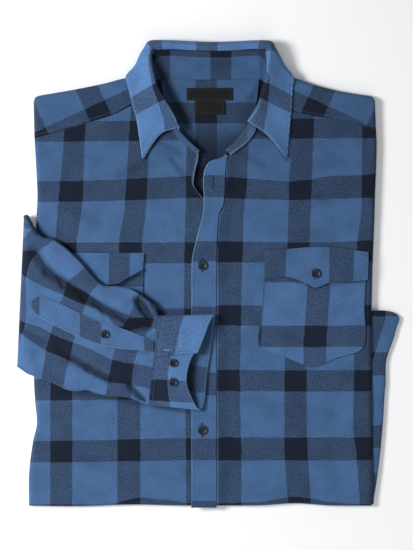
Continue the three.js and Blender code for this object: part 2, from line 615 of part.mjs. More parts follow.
// Pockets and flaps: made from the front's points, moved out
function pocket(rows) {
  const height = (u, v, x, y) => frontTop(x, y) + SEAM_GAP + PATCH_CLOTH;
  return ladder([...rows].reverse(), ["lx", "ly", "rx", "ry"], 7, 8, height, PATCH_CLOTH);
}

const FLAP_LIFT = PATCH_CLOTH + SEAM_GAP;
const FLAP_STEP = 0.3; // share of the flap's depth above the pocket's mouth
function flap(rows) {
  const height = (u, v, x, y) => frontTop(x, y) + SEAM_GAP + CLOTH + FLAP_LIFT * ease(u / FLAP_STEP);
  return ladder(rows, ["tx", "ty", "bx", "by"], 12, 4, height, CLOTH);
}

// Collar
const COLLAR_STEPS = 30;
const LEAF_STEPS = 8;
const COLLAR_SEAM = 0.8; // the leaf leaves the stand's edge at an angle, so its edge stays this far off
const STAND_BULGE = 1.2;

function collarStand() {
  const seam = lineThrough(STAND, ["nx", "ny", "nz"]);
  const edge = lineThrough(STAND, ["tx", "ty", "tz"]);
  const grid = places(1, [0], COLLAR_STEPS, [0]).map((v) => places(1, [0], 3, [0]).map((u) => {
    const point = mix(seam(v), edge(v), u);
    point[2] += STAND_BULGE * Math.sin(Math.PI * u);
    return point;
  }));
  return wall(grid, COLLAR_CLOTH, 0.5);
}

function collarLeaf() {
  const edge = lineThrough(STAND, ["tx", "ty", "tz"]);
  const grid = LEAF.map((row) => {
    const roll = [row.rx, row.ry, row.rz];
    const middle = [row.mx, row.my, row.mz];
    const end = [row.lx, row.ly, row.lz];
    const below = edge(nearest(edge, roll));
    const seam = mix(below, roll, COLLAR_SEAM / distance(below, roll));
    seam[2] += row.lift;
    const section = curveThrough([seam, roll, middle, end]);
    return places(1, [0], LEAF_STEPS, [0]).map((u) => section(u));
  });
  return wall(grid, COLLAR_CLOTH, 0.5);
}

// Sleeve: a flattened tube, round the body's side and across the front
const SLEEVE_LENGTH = 165;
const SLEEVE_EDGE = [0, 0.13, 0.5, 1]; // places round the folded edge, as shares of its radius
const SLEEVE_ACROSS = 9;
const FOLD_FADE = 8; // the folds fade out over this distance at the sleeve's edges
const sleevePatch = patch(plan(SLEEVE_TOP), plan(SLEEVE_BOTTOM), plan(SLEEVE_FOLD), plan(CUFF_SEAM));

function foldDepth(x, y) {
  return Math.max(...SLEEVE_FOLDS.map((fold) => {
    const dx = fold.bx - fold.ax;
    const dy = fold.by - fold.ay;
    const t = clamp(((x - fold.ax) * dx + (y - fold.ay) * dy) / (dx * dx + dy * dy));
    const away = Math.hypot(x - fold.ax - t * dx, y - fold.ay - t * dy);
    return fold.depth * (1 - ease(away / fold.width));
  }));
}

// Stations along the tube's middle, from beside the body round its side and across the front
function sleeveStations() {
  const last = SLEEVE_TURN.at(-1);
  const across = places(1, [0], SLEEVE_STEPS, [0]).slice(1).map((t) => ({
    in: last.in + (SLEEVE_LENGTH - last.in) * t,
    z: last.z,
    half: last.half,
  }));
  return [...SLEEVE_TURN, ...across];
}

// One ring of the tube: along its upper side and back along its lower, moved in by cut
function sleeveRing(stations, k, cut) {
  const station = stations[k];
  const before = stations[Math.max(k - 1, 0)];
  const after = stations[Math.min(k + 1, stations.length - 1)];
  const run = Math.hypot(after.in - before.in, after.z - before.z);
  const outX = (before.z - after.z) / run;
  const outZ = (after.in - before.in) / run;
  const high = sleevePatch(station.in / SLEEVE_LENGTH, 1);
  const low = sleevePatch(station.in / SLEEVE_LENGTH, 0);
  const chord = distance(high, low);
  const radius = station.half - cut;
  const ends = SLEEVE_EDGE.map((share) => cut + share * radius);
  const onFront = k >= SLEEVE_TURN.length - 1;
  const point = (share, side) => {
    const edge = Math.min(share, 1 - share) * chord - cut;
    const height = Math.sqrt(Math.max(radius ** 2 - Math.max(radius - edge, 0) ** 2, 0));
    const [x, y] = mix(low, high, share);
    const sunk = side > 0 && onFront ? foldDepth(x, y) * ease((edge - radius) / FOLD_FADE) : 0;
    return [x + outX * side * height, y, station.z + outZ * side * height - sunk];
  };
  const along = places(chord, ends, SLEEVE_ACROSS, ends);
  const back = along.slice(1, -1).reverse();
  return [...along.map((share) => point(share, 1)), ...back.map((share) => point(share, -1))];
}

function sleeveRight() {
  const stations = sleeveStations();
  const outer = stations.map((_, k) => sleeveRing(stations, k, 0));
  const inner = stations.map((_, k) => sleeveRing(stations, k, CLOTH));
  const rows = outer.length;
  const columns = outer[0].length;
  const count = rows * columns;
  const faces = [...gridFaces(rows, columns, 0, false, true), ...gridFaces(rows, columns, count, true, true)];
  for (let j = 0; j < columns; j += 1) {
    const next = (j + 1) % columns;
    faces.push([j, count + next, next], [j, count + j, count + next]);
    const end = (rows - 1) * columns;
    faces.push([end + j, end + next, count + end + next], [end + j, count + end + next, count + end + j]);
  }
  return solid([...outer.flat(), ...inner.flat()], faces);
}

const PLACKET_SINK = 0.25; // how far the stiffer placket follows the sleeve's folds

function sleevePlacket() {
  const top = SLEEVE_MIDDLE + SLEEVE_HALF + SEAM_GAP + PATCH_CLOTH;
  const height = (u, v, x, y) => top - PLACKET_SINK * foldDepth(x, y);
  return ladder(SLEEVE_PLACKET, ["ux", "uy", "lx", "ly"], 14, 3, height, PATCH_CLOTH);
}

// Cuff: a band wound once round, its overlap on its underlap
const CUFF_ROUND = 34;
const CUFF_DEEP = 5;

function cuffRight() {
  const seam = lineThrough(CUFF, ["sx", "sy", "sz"]);
  const mouth = lineThrough(CUFF, ["mx", "my", "mz"]);
  const columns = places(1, [0], CUFF_DEEP, [0]);
  const grid = places(1, [0], CUFF_ROUND, [0]).map((v) => columns.map((u) => mix(seam(v), mouth(v), u)));
  return wall(grid, CUFF_CLOTH, 0.5);
}

// Left sleeve: a fold that shows beside the body
const LEFT_FOLD = table("share z", [
  [0, 5.4], [0.5, 5.6], [0.86, 5.2], [1, 3.2], [0.86, 1.2], [0.5, 0.8], [0, 0.8],
]);
const LEFT_FOLD_STEPS = 16;
const LEFT_FOLD_LEAST = 1.5; // its width where it slips behind the body

function sleeveLeft() {
  const edge = plan(SLEEVE_LEFT_EDGE);
  const grid = places(1, [0], LEFT_FOLD_STEPS, [0]).map((v) => {
    const [x, y] = edge(v);
    const rim = lookUp(BODY_SIDE_LEFT, "y", "x", y) + SEAM_GAP;
    return LEFT_FOLD.map((row) => [rim + Math.max(x - rim, LEFT_FOLD_LEAST) * row.share, y, row.z]);
  });
  return wall(grid, CLOTH, 0.5);
}

// Buttons with four holes; the profile runs from the axis below to the axis above
const BUTTON_PROFILE = table("share z", [
  [0, 0], [0.86, 0], [1, 0.35], [1, 0.75], [0.86, 1], [0.7, 0.82], [0, 0.82],
]);
const HOLE_SIDES = 6;

function button({ x, y, z, radius }) {
  const outline = BUTTON_PROFILE.map((row) => new THREE.Vector2(row.share * radius, row.z * BUTTON_THICK));
  const disc = new THREE.LatheGeometry(outline, BUTTON_SIDES);
  disc.rotateX(Math.PI / 2);
  let body = toManifold(disc);
  [-1, 1].forEach((i) => [-1, 1].forEach((j) => {
    const hole = new THREE.CylinderGeometry(BUTTON_HOLE, BUTTON_HOLE, 3 * BUTTON_THICK, HOLE_SIDES);
    hole.rotateX(Math.PI / 2);
    hole.translate(i * BUTTON_HOLE_OUT, j * BUTTON_HOLE_OUT, 0);
    body = body.subtract(toManifold(hole));
  }));
  const mesh = body.getMesh();
  const geometry = new THREE.BufferGeometry();
  geometry.setAttribute("position", new THREE.BufferAttribute(new Float32Array(mesh.vertProperties), 3));
  geometry.setIndex([...mesh.triVerts]);
  return geometry.translate(x, y, z);
}

function toManifold(geometry) {
  geometry.deleteAttribute("normal");
  geometry.deleteAttribute("uv");
  const joined = mergeVertices(geometry, WELD);
  const index = [...joined.index.array];
  const kept = [];
  for (let i = 0; i < index.length; i += 3) {
    const [a, b, c] = index.slice(i, i + 3);
    if (a !== b && b !== c && a !== c) kept.push(a, b, c);
  }
  return new manifold.Manifold(new manifold.Mesh({
    numProp: 3,
    vertProperties: new Float32Array(joined.attributes.position.array),
    triVerts: new Uint32Array(kept),
  }));
}

function label({ x, y, width, depth, z }) {
  const box = new THREE.BoxGeometry(width, depth, LABEL_THICK);
  box.deleteAttribute("normal");
  box.deleteAttribute("uv");
  return mergeVertices(box.translate(x, y, z + LABEL_THICK / 2), WELD);
}

const manifold = await Module();
manifold.setup();

const BLUE = new THREE.Color(0.078, 0.188, 0.392);
const LIGHT_BLUE = new THREE.Color(0.095, 0.22, 0.44);
const LABEL_BLACK = new THREE.Color(0.01, 0.01, 0.011);
const BUTTON_NAVY = new THREE.Color(0.017, 0.028, 0.05);

const cloth = (colour) => new THREE.MeshStandardMaterial({ color: colour, roughness: 0.95, metalness: 0 });
const plastic = (colour) => new THREE.MeshStandardMaterial({ color: colour, roughness: 0.35, metalness: 0 });

const group = new THREE.Group();
group.name = "flannel_shirt";
function add(name, geometry, material) {
  const mesh = new THREE.Mesh(geometry, material);
  mesh.name = name;
  group.add(mesh);
}

add("folded_body", foldedBody(), cloth(BLUE));
add("front_right", frontRight(), cloth(BLUE));
add("front_left", frontLeft(), cloth(BLUE));
add("placket", placket(), cloth(BLUE));
add("yoke_right", yokeFront(YOKE_RIGHT, false), cloth(BLUE));
add("yoke_left", yokeFront(YOKE_LEFT, true), cloth(BLUE));
add("yoke_inside", yokeInside(), cloth(BLUE));
add("collar_stand", collarStand(), cloth(BLUE));
add("collar_leaf", collarLeaf(), cloth(LIGHT_BLUE));
add("pocket_left", pocket(POCKET_LEFT), cloth(BLUE));
add("flap_left", flap(FLAP_LEFT), cloth(BLUE));
add("pocket_right", pocket(POCKET_RIGHT), cloth(BLUE));
add("flap_right", flap(FLAP_RIGHT), cloth(BLUE));
add("sleeve_right", sleeveRight(), cloth(LIGHT_BLUE));
add("sleeve_placket", sleevePlacket(), cloth(LIGHT_BLUE));
add("cuff_right", cuffRight(), cloth(LIGHT_BLUE));
add("sleeve_left", sleeveLeft(), cloth(BLUE));
add("neck_label", label(LABEL), cloth(LABEL_BLACK));
add("size_label", label(SIZE_LABEL), cloth(LABEL_BLACK));
BUTTONS.forEach((row, i) => add(`button_${BUTTON_NAMES[i]}`, button(row), plastic(BUTTON_NAVY)));

export default group;
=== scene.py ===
"""A flannel shirt folded flat, in a blue check: its cloth, seams, stitches, labels and buttons.

Tables and lengths are in millimetres of the part's frame; meshes are made in metres.
"""

import bpy
import numpy as np
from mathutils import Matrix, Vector


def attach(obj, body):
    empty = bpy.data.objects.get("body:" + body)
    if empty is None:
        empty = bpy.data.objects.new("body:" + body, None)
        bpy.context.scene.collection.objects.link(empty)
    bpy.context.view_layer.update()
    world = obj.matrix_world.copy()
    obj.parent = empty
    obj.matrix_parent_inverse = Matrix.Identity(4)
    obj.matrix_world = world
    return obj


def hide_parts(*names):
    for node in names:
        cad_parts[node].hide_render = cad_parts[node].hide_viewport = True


MM = 0.001

# Cloth
CLOTH = 1.6
PLACKET_CLOTH = 2.2
COLLAR_CLOTH = 2.0
CUFF_CLOTH = 2.4
PATCH_CLOTH = 1.3
SEAM_GAP = 0.3

# Heights of the folded body
RIM_HEIGHT = 4.7
FRONT_TOP = 11.0
YOKE_RISE = 0.6
PLACKET_RISE = 2.4
PLACKET_SLOPE = 18.0
CURL_REACH = 6.0
NECK_FLOOR = 4.4
NECK_SLOPE = 8.0
NECK_MARGIN = 18.0
NECK_BACK = 24.5

# Sleeve
SLEEVE_MIDDLE = 18.6
SLEEVE_HALF = 3.5
SLEEVE_LENGTH = 165.0

# Check: one repeat of the cloth, and the share of it that is dark
REPEAT = 84.5
DARK = 0.34

# Edges and stitch rows
EDGE_RADIUS = 1.1
TINY = 1e-9


def table(names, rows):
    columns = names.split()
    return [dict(zip(columns, row)) for row in rows]


# Outlines of the pieces, as measured
HEM = table("x y", [
    [-233, -300.9], [-166.4, -301.5], [-98.8, -299.5], [-23.4, -300.7], [10.4, -300.9],
    [70.2, -300.4], [113.1, -297.8], [158.6, -300.7], [212.9, -300.9],
])
SHOULDERS = table("x y", [
    [-227, 225.6], [-223.6, 231.4], [-201.5, 236], [-171.6, 241.2], [-133.9, 249], [-105.3, 256.1],
    [-62.4, 256.8], [5.2, 256.8], [67.6, 256.8], [110.5, 256.1], [140.4, 246.3], [171.6, 238.6],
    [195, 234.7], [213.2, 231.4], [217.4, 225.6],
])
BODY_SIDE_RIGHT = table("x y", [
    [-233, -300.9], [-232.7, -256.8], [-227.6, -216.5], [-222.7, -194.3], [-225.2, -163.2],
    [-226.7, -132], [-226.7, -72.2], [-225.7, 18.9], [-223.1, 78.7], [-222, 100.8],
    [-222.7, 121.5], [-224, 146.2], [-225.9, 178.8], [-227, 225.6],
])
BODY_SIDE_LEFT = table("x y", [
    [212.9, -300.9], [214.8, -256.8], [213.7, -202.2], [213.1, -120.2], [213.1, -46.8],
    [213.8, -11.1], [215.3, 35.8], [216.7, 70.9], [217.5, 100.1], [219.7, 165.8], [218.9, 186.6],
    [217.4, 225.6],
])
FRONT_RIGHT_HEM = HEM[:3] + table("x y", [[-36.4, -300.7], [6.5, -300.9]])
FRONT_RIGHT_TOP = table("x y", [
    [-225.9, 176.7], [-205.8, 181.9], [-189.2, 187.7], [-164.3, 195.1], [-146, 200.1],
    [-121.2, 208.3], [-101.4, 218.3], [-79.3, 225.6], [-65, 221], [-57.2, 210], [-45.5, 188.5],
    [-26, 170.3], [-12.2, 158.5],
])
FRONT_RIGHT_SIDE = BODY_SIDE_RIGHT[:-2] + table("x y", [[-225.9, 176.7]])
FRONT_RIGHT_EDGE = table("x y", [
    [6.5, -300.9], [6.5, -163.2], [6.5, -33.1], [6.5, 64.4], [-2.6, 93], [-18.2, 115],
    [-17.6, 130.7], [-13.3, 148.8], [-12.2, 158.5],
])
FRONT_LEFT_HEM = table("x y", [[11.7, -300.9]]) + HEM[5:]
FRONT_LEFT_TOP = table("x y", [
    [77.4, 228.2], [111.8, 211.8], [146.9, 204], [170.3, 201.9], [192.4, 196.6], [218.9, 184.5],
])
FRONT_LEFT_SIDE = BODY_SIDE_LEFT[:-2] + table("x y", [[218.9, 184.5]])
FRONT_LEFT_EDGE = table("x y", [
    [11.7, -300.9], [11.7, -163.2], [11.7, 12.3], [13.3, 59.1], [15.6, 78.7], [21.6, 94.2],
    [23.4, 128.1], [25.2, 148.8], [29.9, 158.6], [41.6, 165.8], [53.3, 174.2], [62.4, 187.8],
    [68.2, 203.5], [73.5, 217.8], [77.4, 228.2],
])
YOKE_SEAM_RIGHT = table("x y", [
    [-225.9, 177.5], [-205.8, 182.7], [-189.2, 188.5], [-164.3, 195.9], [-146, 200.8],
    [-121.2, 209.2], [-101.4, 220.3], [-70.2, 231.4],
])
SHOULDER_RIGHT = SHOULDERS[:6] + table("x y", [[-85.8, 256.1]])
YOKE_RIGHT_SIDE = table("x y", [
    [-225.9, 177.5], [-226.5, 200.8], [-227, 225.6],
])
YOKE_NECK_RIGHT = table("x y", [
    [-70.2, 231.4], [-74.8, 239.8], [-80, 247.7], [-85.8, 256.1],
])
YOKE_SEAM_LEFT = table("x y", [
    [218.9, 185.2], [192.4, 197.3], [170.3, 202.7], [146.9, 204.8], [111.8, 212.6], [77.4, 229.5],
])
SHOULDER_LEFT = SHOULDERS[:-7:-1] + table("x y", [[93.6, 256.1]])
YOKE_LEFT_SIDE = table("x y", [
    [218.9, 185.2], [218.1, 204.8], [217.4, 225.6],
])
YOKE_NECK_LEFT = table("x y", [
    [77.4, 229.5], [81.2, 239.8], [86.5, 247.7], [93.6, 256.1],
])
PLACKET_EDGE = table("x y", [
    [-21.7, -302.9], [-21.7, -163.2], [-21.7, -33.1], [-21.1, 18.2], [-16.4, 41], [-11.8, 59.1],
    [-7.2, 76], [-5.5, 99.5], [-6.5, 120.2], [-4.7, 135.8], [0.5, 145], [7.2, 148.8],
    [16.2, 151.2], [23.4, 155.3],
])
PLACKET_SEAM = table("x y", [
    [11.2, -302.9], [11.2, -163.2], [11.2, 12.3], [12.5, 59.1], [14.8, 79.3], [20.5, 93],
    [22.5, 128.1], [24.2, 148.2], [25.5, 154.6],
])
NECK_OPENING = table("y half mid", [
    [278.9, 83.2, 2.6], [254.2, 81.9, 2.6], [232.1, 79.3, 3.2], [213.8, 75.4, 3.9],
    [190.5, 65, 6.5], [167.1, 49.4, 5.2], [148.8, 35.1, -2.6], [125.5, 29.2, -6.5],
    [99.5, 23.4, -5.2], [81.2, 11.7, -2.6],
])
POCKET_LEFT = table("lx ly rx ry", [
    [73.6, 16.2, 208, 16.2], [72.8, -9.8, 205.4, -11.8], [69.5, -54, 203.8, -41.7],
    [67.6, -94.2, 202, -94.9], [101.4, -108, 169, -108], [131.3, -120, 139.1, -120],
])
POCKET_RIGHT = table("lx ly rx ry", [
    [-215.8, 11.1, -83.6, 11.1], [-214.5, -12.3, -83.5, -12.3], [-213.8, -46.1, -85.2, -46.1],
    [-213.2, -94.2, -87.1, -94.2], [-182, -108.5, -118.3, -108.5],
    [-153.4, -120.2, -146.9, -120.2],
])
FLAP_LEFT = table("tx ty bx by", [
    [73.3, 32.5, 73.3, -7.2], [87.1, 32.5, 87.8, -4], [101.9, 33.1, 102.4, -3],
    [114.4, 34.2, 114.4, -6.1], [128.1, 35.5, 128.1, -11.3], [137.8, 35.8, 138.5, -17],
    [149.1, 35.8, 149.1, -14.2], [157.8, 35.8, 157.8, -10.5], [171.6, 34.5, 171.6, -9.6],
    [189.8, 31.9, 189.8, -9], [208.8, 29.2, 207.6, -6.9],
])
FLAP_RIGHT = table("tx ty bx by", [
    [-217.1, 28.2, -215.8, -8.5], [-195, 28.2, -193.7, -11.1], [-172.9, 28.2, -169, -13.7],
    [-150.8, 28.2, -149.5, -20.2], [-140.4, 28.2, -139.1, -15], [-127.4, 28.2, -127.4, -13.7],
    [-117, 28.2, -117, -12.3], [-104, 28.2, -104, -4.5], [-93.6, 28.2, -93.6, 1.3],
    [-82.4, 28.2, -84.5, 6.2],
])

# Collar stand: neck seam (n) and top edge (t)
STAND = table("nx ny nz tx ty tz", [
    [-14, 156.7, 12.6, -11.2, 160.3, 13.8], [-29.9, 169.9, 12.6, -25.7, 173.6, 15.4],
    [-45.2, 185.2, 12.7, -39.8, 189.4, 17], [-57.7, 209.3, 12.8, -48.6, 203.5, 17.2],
    [-65.7, 225.6, 12.9, -57.7, 222.2, 18.8], [-70.2, 239.8, 12.2, -65.7, 241.8, 19.5],
    [-69.7, 249.5, 10.6, -69.5, 256.8, 20], [-65, 253.6, 8.8, -71.8, 269.8, 20],
    [-57.2, 254.5, 7.8, -72.8, 282.8, 19.6], [-46.8, 254.8, 7.7, -66.3, 289.8, 19.2],
    [-31.2, 254.3, 7.7, -46.8, 291.9, 17.4], [-13, 253.8, 7.7, -22.1, 290.3, 18],
    [5.2, 253.6, 7.7, 5.2, 289.5, 18], [23.4, 253.9, 7.7, 32.5, 290, 18],
    [41.6, 254.4, 7.7, 57.2, 292, 17.4], [54.6, 254.8, 7.7, 71.5, 291.3, 19.2],
    [63.7, 254.8, 8, 75.7, 282.8, 19.6], [70.9, 252.9, 9.4, 75.9, 269.8, 20],
    [74.8, 247, 11, 74.6, 255.5, 20], [74.6, 238.6, 12.4, 71.2, 241.8, 19.5],
    [71.5, 226.8, 12.9, 67.1, 228.7, 19.6], [67.3, 212.6, 12.9, 61.4, 215.2, 18.4],
    [62.4, 197.6, 12.8, 54.3, 204.2, 17.2], [57.2, 186, 12.7, 47.6, 193.1, 17.2],
    [48.1, 174.1, 12.6, 39, 178.8, 15.8], [35.1, 164.2, 12.6, 30.7, 167.1, 14.4],
])

# Collar leaf: roll (r), middle (m) and edge (l)
LEAF = table("rx ry rz mx my mz lx ly lz lift", [
    [-34.3, 190.5, 20.6, -61.1, 183.6, 16, -84.5, 150.2, 13.4, 0.6],
    [-42.9, 205, 22, -67.6, 196.2, 16.8, -88.4, 177.5, 13.4, 0.6],
    [-51.5, 219.6, 23.2, -73.3, 211.2, 17.4, -92.3, 202.8, 13.5, 0.6],
    [-59, 232.8, 24, -78.5, 225, 18, -96.7, 217.1, 13.5, 0.6],
    [-66.3, 246.3, 24.6, -83.2, 239.3, 18.2, -100.1, 231.3, 13.5, 0.6],
    [-69.7, 258.6, 25, -86.6, 252.3, 18.2, -103.2, 244.5, 13.4, 0.6],
    [-72.8, 271.8, 25, -89.2, 266.4, 17.6, -105.6, 258.3, 13.2, 0.6],
    [-74.9, 283.8, 24.8, -89.2, 280.7, 16.6, -92.3, 270.4, 4, 0.6],
    [-75.9, 292.6, 24, -84, 291.3, 13, -79.3, 278.2, 2, 0.6],
    [-72.3, 299.1, 22.4, -74.9, 302.2, 12, -67.6, 280.8, 1.6, 0.6],
    [-48.1, 298.9, 21.6, -48.9, 302.8, 12, -46.8, 280.2, 1.5, 0.6],
    [-22.6, 297.8, 21.4, -22.6, 301.6, 12, -23.4, 278.2, 1.5, 0.6],
    [4.7, 297.1, 21.4, 4.7, 300.6, 12, 3.9, 277.6, 1.5, 0.6],
    [32.5, 297.6, 21.4, 33.3, 301.3, 12, 32.5, 278.2, 1.5, 0.6],
    [59.3, 298.9, 21.6, 60.6, 302.5, 12, 58.5, 280.2, 1.5, 1.2],
    [78.8, 298.9, 22.4, 81.4, 301.5, 12, 72.8, 280.8, 1.6, 1.2],
    [81.1, 292.6, 24, 88.9, 290.6, 13, 83.2, 278.2, 2, 0.6],
    [79.8, 283.8, 24.8, 94.4, 279.4, 16.6, 97.5, 270.4, 4, 0.6],
    [77.2, 271.6, 25, 94.9, 266.1, 17.6, 110, 258.1, 13.2, 0.6],
    [75.9, 258.3, 25, 93.6, 252.1, 18.2, 109.5, 244.3, 13.4, 0.6],
    [72.8, 244.3, 24.6, 91, 238.3, 18.2, 108.7, 230.8, 13.5, 1.6],
    [68.4, 230, 24, 88.4, 223.5, 18, 107.9, 216.5, 13.5, 1.6],
    [63.7, 217, 23.8, 84.5, 208.7, 17.4, 106.3, 200.8, 13.5, 1.6],
    [56.4, 205.3, 22.4, 81.4, 194.3, 16.8, 104.3, 178.8, 13.4, 1.6],
    [51.7, 198.8, 21, 75.4, 183.2, 16, 102.6, 151.5, 13.4, 1.6],
])

# Sleeve: its outline as laid
SLEEVE_TOP = table("x y", [
    [-238.8, 81.9], [-231.4, 71.5], [-224.9, 61.8], [-218.7, 51.4], [-210.6, 48.8], [-201.8, 46.1],
    [-191.9, 41.3], [-175.9, 27.4], [-165.1, 17.6], [-153, 3.2], [-142.1, -8.7], [-135.2, -13.7],
    [-120.9, -14.7], [-99.5, -18.5], [-88.7, -25.4], [-73.6, -34.1], [-67.2, -43.6], [-63.7, -54],
])
SLEEVE_BOTTOM = table("x y", [
    [-247.8, -118.3], [-238.6, -125.5], [-227.6, -132], [-217.1, -134], [-206.7, -138.5],
    [-191.1, -145.5], [-180.7, -150.2], [-171, -151.5], [-156, -150.4], [-136.1, -156.4],
    [-114.4, -159.2], [-97.5, -160.9], [-84.5, -166.3], [-76.7, -169.1],
])
SLEEVE_FOLD = table("x y", [
    [-238.8, 81.9], [-241, 46.1], [-244, 26.7], [-244.8, 5.9], [-244.4, -20.2], [-242.6, -39],
    [-245.6, -55.2], [-246.5, -77.4], [-247, -96.9], [-247.8, -118.3],
])
CUFF_SEAM = table("x y", [
    [-63.7, -54], [-67.3, -72.2], [-68.9, -85.8], [-71.1, -99.5], [-73.3, -119], [-75.1, -137.2],
    [-76.7, -169.1],
])
SLEEVE_TURN = table("in z half", [
    [13.5, 2.9, 2.3], [9, 3.2, 2.5], [4.8, 6.4, 2.9], [3.5, 11.4, 3.1], [5.2, 15.8, 3.3],
    [9.6, 18.1, 3.4], [16, 18.6, 3.5],
])
SLEEVE_PLACKET = table("ux uy lx ly", [
    [-228.3, -33.1, -229.6, -37.6], [-218.7, -27.9, -224.9, -48.8], [-210.6, -30, -213.8, -57.3],
    [-191.1, -38, -196.3, -67.3], [-165.1, -50.1, -170.3, -79.4], [-135.2, -63.1, -140.4, -90.4],
    [-114.4, -68.8, -115.7, -95.8], [-96.2, -75.3, -92.3, -97.9], [-69.4, -85.8, -71, -100.2],
])
CUFF = table("sx sy sz mx my mz", [
    [-68.9, -106, 25.4, -14, -100.8, 27.6], [-65.8, -78.7, 25.4, -4.7, -77.4, 28],
    [-63.8, -60.5, 24.6, 1.8, -60.5, 26.2], [-62.9, -54, 21, 7.3, -52.4, 21.4],
    [-63.4, -58.6, 17.2, 7, -59.1, 17], [-67.3, -91.7, 16.2, 2.6, -95.5, 16.2],
    [-71.2, -126.8, 16.2, -2.1, -129.3, 16.2], [-75.3, -162.6, 17, -5.7, -163.9, 17.2],
    [-75.8, -169.1, 19.6, -11.4, -175.1, 20.4], [-75.3, -163.2, 22.4, -17.9, -167.6, 24.2],
    [-72.5, -138.5, 22.4, -28.3, -139.8, 26.2], [-69.9, -115, 22.4, -24.2, -112.5, 26],
    [-67.2, -90.4, 22.4, -13, -91.7, 24.6],
])
SLEEVE_LEFT_EDGE = table("x y", [
    [215.8, -47.5], [231.4, -47.8], [243.1, -51.2], [248.6, -57.2], [244.9, -69.5], [241.3, -82.5],
    [231.4, -112.5], [230.6, -142.3], [229.3, -155.3], [227.4, -189.2], [226.2, -202.8],
    [222.2, -243.8], [218.3, -272.4],
])

# Where the check's dark bands lie, a row for each place along them: the place, then where each band
# starts and ends. ACROSS has them at places y with edges x, DOWN at places x with edges y.
RIGHT_ACROSS = [
    [226.8, -184.6, -158, -100.1, -73.5, -27.3, 0],
    [161.8, -188.5, -161.2, -104, -77.2, -28.6, -0.7],
    [109.9, -193.7, -162.5, -107.1, -79.7, -29.2, -0.7],
    [77.4, -196.3, -165.1, -109.6, -81.4, -29.9, -1.3],
    [44.9, -198.9, -171, -116.2, -86.3, -30.6, -2],
    [-33.1, -202.8, -174.2, -117.7, -87.8, -31.9, -2.6],
    [-163.2, -205.4, -176.8, -118.3, -88.4, -29.9, -1.3],
    [-293.2, -205.4, -176.8, -118.3, -88.4, -28.6, 0],
]
RIGHT_DOWN = [
    [-211.9, 198.9, 172.9, 121.5, 94.8, 41.6, 14.3, -44.9, -73.5, -135.2, -163.2, -215.8, -243.8,
     -298.4, -325.7],
    [-166.4, 199.3, 173.3, 122.1, 95.3, 42, 14.7, -44.5, -73.1, -134.8, -162.8, -215.2, -243.1,
     -298.1, -325.7],
    [-124.8, 199.7, 173.7, 123.5, 96.2, 42.2, 15, -43.9, -72.5, -134.6, -162.4, -214.4, -242.5,
     -298.9, -325.7],
    [-109.2, 199.8, 173.8, 124.4, 96.9, 42.2, 15, -43.6, -72.2, -134.6, -162.1, -213.8, -242.2,
     -293.2, -320.4],
    [-88.4, 200.1, 174.1, 125.5, 97.2, 42.2, 15, -43.6, -72.2, -134.6, -161.8, -213.3, -241.9,
     -289, -316.6],
    [-55.9, 200.5, 174.5, 126.8, 98.7, 42.2, 15, -43.6, -72.2, -134.2, -161.7, -212.6, -241.3,
     -291.9, -319.2],
    [-23.4, 200.8, 174.8, 128.1, 100, 42.2, 15, -43.6, -72.2, -133.8, -161.6, -211.8, -240.6,
     -296.8, -324.4],
]
LEFT_ACROSS = [
    [200.8, 27.3, 53.3, 107.9, 137.2, 200.2, 228.8], [161.8, 26, 52, 106.6, 135.6, 199.7, 228.2],
    [109.9, 22.1, 49.4, 104.8, 133.9, 199.4, 227.5], [77.4, 15.6, 45.5, 104, 132.6, 198.6, 226.8],
    [44.9, 12, 45, 102.7, 131.3, 193.7, 222.3], [-33.1, 13, 42.9, 100.9, 129.5, 189.5, 217.8],
    [-137.2, 12.2, 40.8, 98.8, 127.4, 189.3, 212.6], [-202.2, 12.5, 41.6, 98.8, 127.9, 188, 214.5],
    [-228.2, 13, 42.9, 98.8, 128.7, 192, 219.7], [-293.2, 13, 42.9, 103.2, 132.9, 196.8, 224.9],
]
LEFT_DOWN = [
    [28.6, 202.7, 176.8, 127.3, 99.5, 43.6, 16.2, -39.6, -65.7, -123.4, -150.8, -211, -241, -296.4,
     -323.1],
    [70.2, 202.8, 176.9, 123.6, 98.2, 42.9, 15.9, -39.9, -66, -123.8, -151.2, -211.1, -241.2,
     -295.1, -321.8],
    [91, 202.9, 176.9, 122.1, 97.6, 42.5, 15.6, -40, -66.3, -124, -151.3, -211.2, -241.2, -290.6,
     -317.9],
    [109.2, 202.9, 176.9, 121, 97.1, 42.2, 15.5, -40.2, -66.4, -124.2, -151.5, -211.2, -241.2,
     -287.9, -316.6],
    [132.6, 203.1, 177.1, 123.9, 97.6, 42.2, 15.5, -40.2, -66.4, -124.2, -151.5, -211.2, -241.2,
     -290.3, -317.9],
    [158.6, 203.2, 177.2, 128.3, 98.2, 42.2, 15.5, -40.2, -66.4, -124.2, -151.5, -211.2, -241.2,
     -294.7, -321.8],
    [179.4, 203.3, 177.3, 129.3, 99.2, 43.3, 16.4, -39.9, -66, -123.9, -151.2, -211, -240.9,
     -297.3, -324.4],
    [210.6, 203.5, 177.5, 130.7, 100.2, 44.9, 17.6, -39.6, -65.7, -123.6, -150.9, -210.7, -240.6,
     -298.1, -325.7],
]
PLACKET_DOWN = [
    [0, 211.2, 185.2, 129.6, 100.8, 43.6, 17.6, -41, -68.2, -126.8, -156.7, -212.6, -240.5, -293.2,
     -320.4],
]
POCKET_LEFT_ACROSS = [
    [31.9, 44.2, 72.8, 128.7, 158.6], [-20.2, 42.9, 71.5, 128.1, 157.8],
    [-91.7, 39, 67.6, 123.5, 152.9],
]
POCKET_LEFT_DOWN = [
    [72.8, 17.6, -9.8, -66.2, -93.7], [197.6, 17.6, -9.8, -65.7, -93.3],
]
FLAP_LEFT_ACROSS = [
    [35.8, 72.3, 100.9, 156.8, 188.8], [-16.2, 72.5, 100.4, 156.5, 188.2],
]
